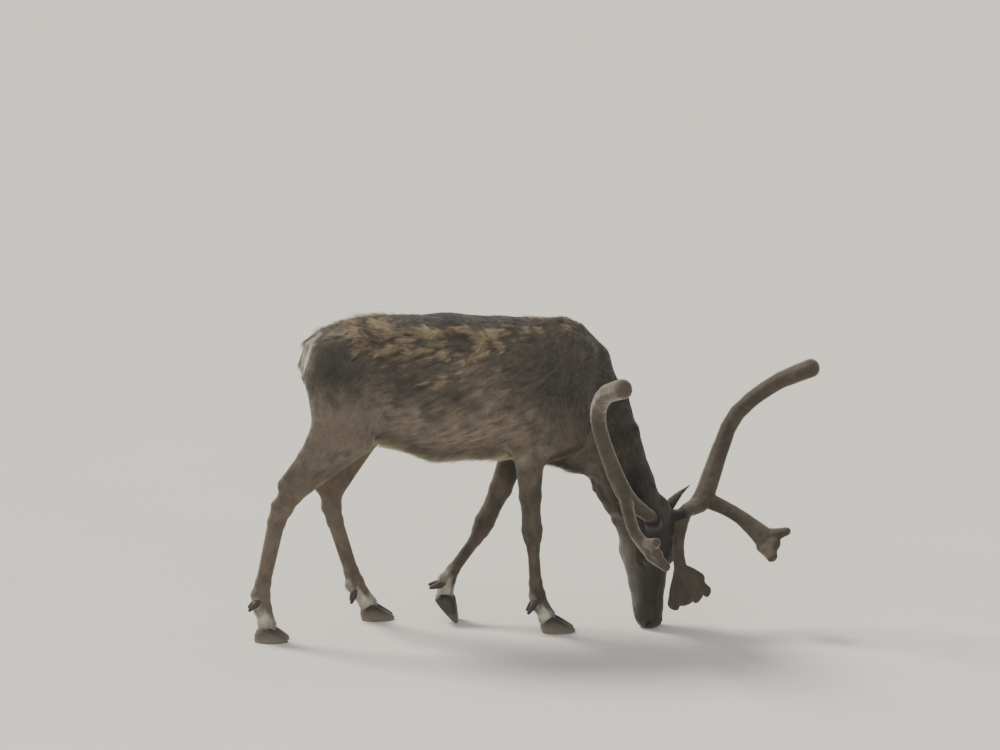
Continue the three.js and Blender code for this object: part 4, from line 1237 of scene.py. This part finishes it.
TUFTS = 210000
corners, parts = scatter(spots, triangles, density, TUFTS)
roots = spread(spots, corners, parts)
in_horn = np.zeros(TUFTS, bool)
for foot, piece in hooves.items():
    near = np.flatnonzero(np.linalg.norm(roots - FEET_MIDDLE[foot], axis=1) < 130)
    wall = BVHTree.FromObject(piece, bpy.context.evaluated_depsgraph_get())
    for n in near:
        place = Vector((roots[n] - HOME) * MM)
        found, outward, _, _ = wall.find_nearest(place)
        in_horn[n] = (place - found).dot(outward) < 0
kept = ~in_horn
corners, parts, roots = corners[kept], parts[kept], roots[kept]
TUFTS = len(roots)
tuft = {
    "normal": unit(spread(upright, corners, parts)), "way": spread(lie, corners, parts),
    "length": spread(length, corners, parts), "width": spread(width, corners, parts),
    "lift": spread(lift, corners, parts),
}
strongest = np.argmax(np.stack([shares[name] for name in REGIONS]), axis=0)
chart_of_vertex = np.array([CHARTS.index(name) for name in REGIONS])[strongest]
chart_of_vertex[tail_share > 0.5] = CHARTS.index("tail")
for side in ("left", "right"):
    chart_of_vertex[ear_shares[side] > 0.5] = CHARTS.index(side)
chart = chart_of_vertex[corners[:, 0]]
root_way, root_shares = lie_and_regions(roots)
root_colour = markings(roots, root_shares, unit(root_way))
on_ear = chart >= CHARTS.index("left")
root_colour[on_ear] = spread(colours, corners, parts)[on_ear]
wild = spread(pale_share, corners, parts)
smooth = spread(bare, corners, parts)
root_colour *= (1 + mix(0.13, 0.22, wild) * (2 * random.random(TUFTS) - 1) * (1 - 0.1 * smooth))[:, None]
swirl = np.stack([noise(roots, 55, seed) - 0.5 for seed in (11, 12, 13)], axis=1)
shock = np.stack([noise(roots, 16, seed) - 0.5 for seed in (14, 15, 16)], axis=1)
stray = (0.25 + 1.6 * wild) * (1 - 0.6 * smooth)
jitter = random.normal(0, 0.09, (TUFTS, 3))
way = tuft["way"] + swirl * (0.5 * stray)[:, None] + shock * (0.9 * stray)[:, None] + jitter
way = unit(way - tuft["normal"] * (way * tuft["normal"]).sum(1)[:, None])
long = tuft["length"] * np.exp(random.normal(0, 0.2, TUFTS))
lifted = tuft["lift"] * (0.6 + 0.8 * random.random(TUFTS)) * (1 + 1.6 * np.abs(shock[:, 0]) * stray)
loose = np.maximum(wild, spread(np.maximum(under, ear_share), corners, parts))
lifted = np.minimum(lifted, 0.16 + 0.5 * loose)
patch = unwrapped(roots, chart)
PIECE_LIMIT = 196000
SPIKE_FULLER = 1.3
# The least and most length of each kind of tuft, and where its rings stand along it.
LENGTHS = {
    "short": (0, 21, (0,)),
    "middle": (21, 30, (0, 0.5)),
    "long": (30, 999, (0, 0.38, 0.72)),
}
COAT_PARTS = {
    "trunk": ["trunk"],
    "neck": ["neck"],
    "head": ["head", "left", "right"],
    "legs": ["fore_right", "fore_left", "hind_right", "hind_left"],
    "tail": ["tail"],
}
coat_material = fur_material("coat_tufts", 300, 0.35, 0, 0.8, 0.2)
for part_name, charts in COAT_PARTS.items():
    own = np.isin(chart, [CHARTS.index(name) for name in charts])
    for kind, (least, most, stations) in LENGTHS.items():
        members = np.flatnonzero(own & (long > least) & (long <= most))
        if not len(members):
            continue
        members = members[np.argsort(roots[members, 0], kind="stable")]
        tuft_faces = 6 * len(stations) - 2
        fuller = SPIKE_FULLER if len(stations) == 1 else 1
        lots = np.array_split(members, math.ceil(len(members) * tuft_faces / PIECE_LIMIT))
        for number, some in enumerate(lots):
            piece = build_tufts(
                f"coat_{part_name}_{kind}_{number + 1}", roots[some], tuft["normal"][some], way[some],
                long[some], tuft["width"][some] * fuller, lifted[some], root_colour[some], patch[some],
                stations)
            piece.data.materials.append(coat_material)


# Antlers in velvet, still growing: furred skin over soft bone, round beams with blunt ends. They are
# copied from the solids, grown together at the forks and smoothed.
ANTLER_PARTS = {
    "left": ["beam_lower", "beam_upper", "bez", "brow"],
    "right": ["beam_lower", "beam_upper", "bez"],
}
ANTLER_SWELL = 0.6
ANTLER_CELL = 3.4
ANTLER_ROUNDS = 8
antlers = {}
for name, parts in ANTLER_PARTS.items():
    nodes = [f"antler_{name}_{part}" for part in parts]
    piece = smooth_copy(nodes, f"antler_{name}", ANTLER_SWELL, ANTLER_CELL, ANTLER_ROUNDS)
    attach(piece, "root")
    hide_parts(*nodes)
    antlers[name] = piece


def velvet_material():
    """Furred skin with a fine pile, a soft sheen and faint raised veins."""
    material, tree, shader = new_material("velvet", {
        "Roughness": 0.85, "Sheen Weight": 0.9, "Sheen Roughness": 0.35,
        "Sheen Tint": (0.85, 0.78, 0.66, 1), "Specular IOR Level": 0.2})
    colour = add_node(tree, "Attribute", attribute_name="markings").outputs["Color"]
    place = add_node(tree, "TexCoord").outputs["Object"]
    pile = add_node(tree, "TexNoise", {"Vector": place, "Scale": 900, "Detail": 4}).outputs["Fac"]
    veins = add_node(tree, "TexNoise", {"Vector": place, "Scale": 24, "Detail": 1}).outputs["Fac"]
    off_line = math_node(tree, "ABSOLUTE", math_node(tree, "SUBTRACT", veins, 0.5))
    ridge = math_node(tree, "SUBTRACT", 1.0, math_node(tree, "MULTIPLY", off_line, 22.0))
    vein = math_node(tree, "MAXIMUM", ridge, 0.0)
    height = math_node(tree, "ADD", math_node(tree, "MULTIPLY", pile, 0.45),
                       math_node(tree, "MULTIPLY", vein, 0.35))
    relief = add_node(tree, "Bump", {"Strength": 0.7, "Distance": 0.0016, "Height": height})
    tree.links.new(relief.outputs["Normal"], shader.inputs["Normal"])
    shade = math_node(tree, "ADD", math_node(tree, "MULTIPLY", pile, 0.6), 0.7)
    shade = math_node(tree, "SUBTRACT", shade, math_node(tree, "MULTIPLY", vein, 0.08))
    tint = add_node(tree, "VectorMath", {0: colour, "Scale": shade}, operation="SCALE")
    tree.links.new(tint.outputs[0], shader.inputs["Base Color"])
    return material


VELVET_DARK = srgb("#4b453f")
VELVET_PALE = srgb("#5d564c")
FUZZ = 24000
FUZZ_LONG = 2.5
FUZZ_WIDE = 0.4
velvet = velvet_material()
fuzz_material = fur_material("velvet_fuzz", 500, 0.3, 0, 0.75, 0.5)
for name, piece in antlers.items():
    spots = points_of(piece)
    upright = normals_of(piece)
    lumps = 1.4 * (noise(spots, 26, 21) - 0.5) + 0.9 * (noise(spots, 9, 22) - 0.5)
    spots = spots + upright * lumps[:, None]
    place_points(piece, spots)
    upright = normals_of(piece)
    shade = noise(spots, 38, 23) * 0.6 + noise(spots, 12, 24) * 0.4
    tips = smoothstep(760, 900, spots[:, 2])
    pale = smoothstep(0.3, 0.8, shade) * 0.6 + 0.3 * tips
    pelt = paint(np.tile(VELVET_DARK, (len(spots), 1)), VELVET_PALE, pale)
    store_colour(piece, pelt)
    piece.data.materials.append(velvet)
    triangles = triangles_of(piece)
    corners, parts = scatter(spots, triangles, np.ones(len(spots)), FUZZ)
    roots = spread(spots, corners, parts)
    normal = unit(spread(upright, corners, parts))
    way = random.normal(0, 1, (FUZZ, 3)) * 0.5 + UP * 0.8
    way = unit(way - normal * (way * normal).sum(1)[:, None])
    pelt = spread(pelt, corners, parts) * (0.95 + 0.25 * random.random(FUZZ))[:, None]
    side = unit(spots.mean(0) * (1, 1, 0) - (700, -100, 0))
    around = np.arctan2(normal @ np.cross(UP, side), normal @ side) / (2 * math.pi) + 0.5
    column = 0.02 if name == "left" else 0.52
    sideways = (roots @ side - (spots @ side).min()) / np.ptp(spots @ side)
    upward = (roots[:, 2] - spots[:, 2].min()) / np.ptp(spots[:, 2])
    patch = np.stack((column + 0.44 * (around * 0.25 + 0.75 * sideways), 0.02 + 0.94 * upward), axis=1)
    length = FUZZ_LONG * np.exp(random.normal(0, 0.2, FUZZ))
    lift = 0.4 + 0.7 * random.random(FUZZ)
    tufts = build_tufts(f"velvet_fuzz_{name}", roots, normal, way, length, np.full(FUZZ, FUZZ_WIDE), lift,
                        pelt, patch, (0,), root_tint=0.9, sink=0.5)
    tufts.data.materials.append(fuzz_material)


# Floor and light. The model stands on a broad pale sheet, in soft light from all round. A warm sun
# shines from above and behind on the animal's left, and a large cool lamp fills in from its right.
bpy.ops.object.select_all(action="DESELECT")
bpy.ops.mesh.primitive_plane_add(size=80, location=(0, 0, 0))
floor = bpy.context.active_object
floor.name = "floor"
paper, tree, shader = new_material("floor_paper", {"Roughness": 0.9})
place = add_node(tree, "TexCoord").outputs["Object"]
cloud = add_node(tree, "TexNoise", {"Vector": place, "Scale": 1.3, "Detail": 3}).outputs["Fac"]
paper_colour = blend_colours(tree, cloud, rgba("#d6d4ce"), rgba("#dddbd5"))
tree.links.new(paper_colour, shader.inputs["Base Color"])
floor.data.materials.append(paper)

world = bpy.data.worlds.new("studio")
bpy.context.scene.world = world
world.use_nodes = True
sky = world.node_tree.nodes["Background"]
sky.inputs["Color"].default_value = (0.905, 0.905, 0.895, 1)
sky.inputs["Strength"].default_value = 0.68


def aimed(name, lamp, place, target=(0, 0, 0.6)):
    made = bpy.data.objects.new(name, lamp)
    bpy.context.scene.collection.objects.link(made)
    made.location = place
    made.rotation_euler = (Vector(target) - Vector(place)).to_track_quat("-Z", "Y").to_euler()


key = bpy.data.lights.new("key", "SUN")
key.energy = 3.8
key.angle = math.radians(18)
key.color = (1.0, 0.93, 0.82)
aimed("key", key, (-2.6, 2.4, 4.4))
fill = bpy.data.lights.new("fill", "AREA")
fill.size = 4
fill.energy = 90
fill.color = (0.93, 0.96, 1.0)
aimed("fill", fill, (-1.6, -5.6, 2.4))

# Camera. It stands far off and a little above, nearly square to the animal's right side, and frames
# the model as in the photograph. Its focal length is given in pixels of the photograph.
SENSOR = 36
FOCAL_PIXELS = 4060
PHOTO_PIXELS = 1000
ELEVATION = math.radians(12)
YAW = math.radians(5)
camera = bpy.data.objects.new("camera", bpy.data.cameras.new("camera"))
bpy.context.scene.collection.objects.link(camera)
camera.data.sensor_width = SENSOR
camera.data.lens = SENSOR * FOCAL_PIXELS / PHOTO_PIXELS
camera.location = (-1.295, -13.315, 3.755)
camera.rotation_euler = (math.pi / 2 - ELEVATION, 0, -YAW)
camera.data.clip_end = 200
bpy.context.scene.camera = camera
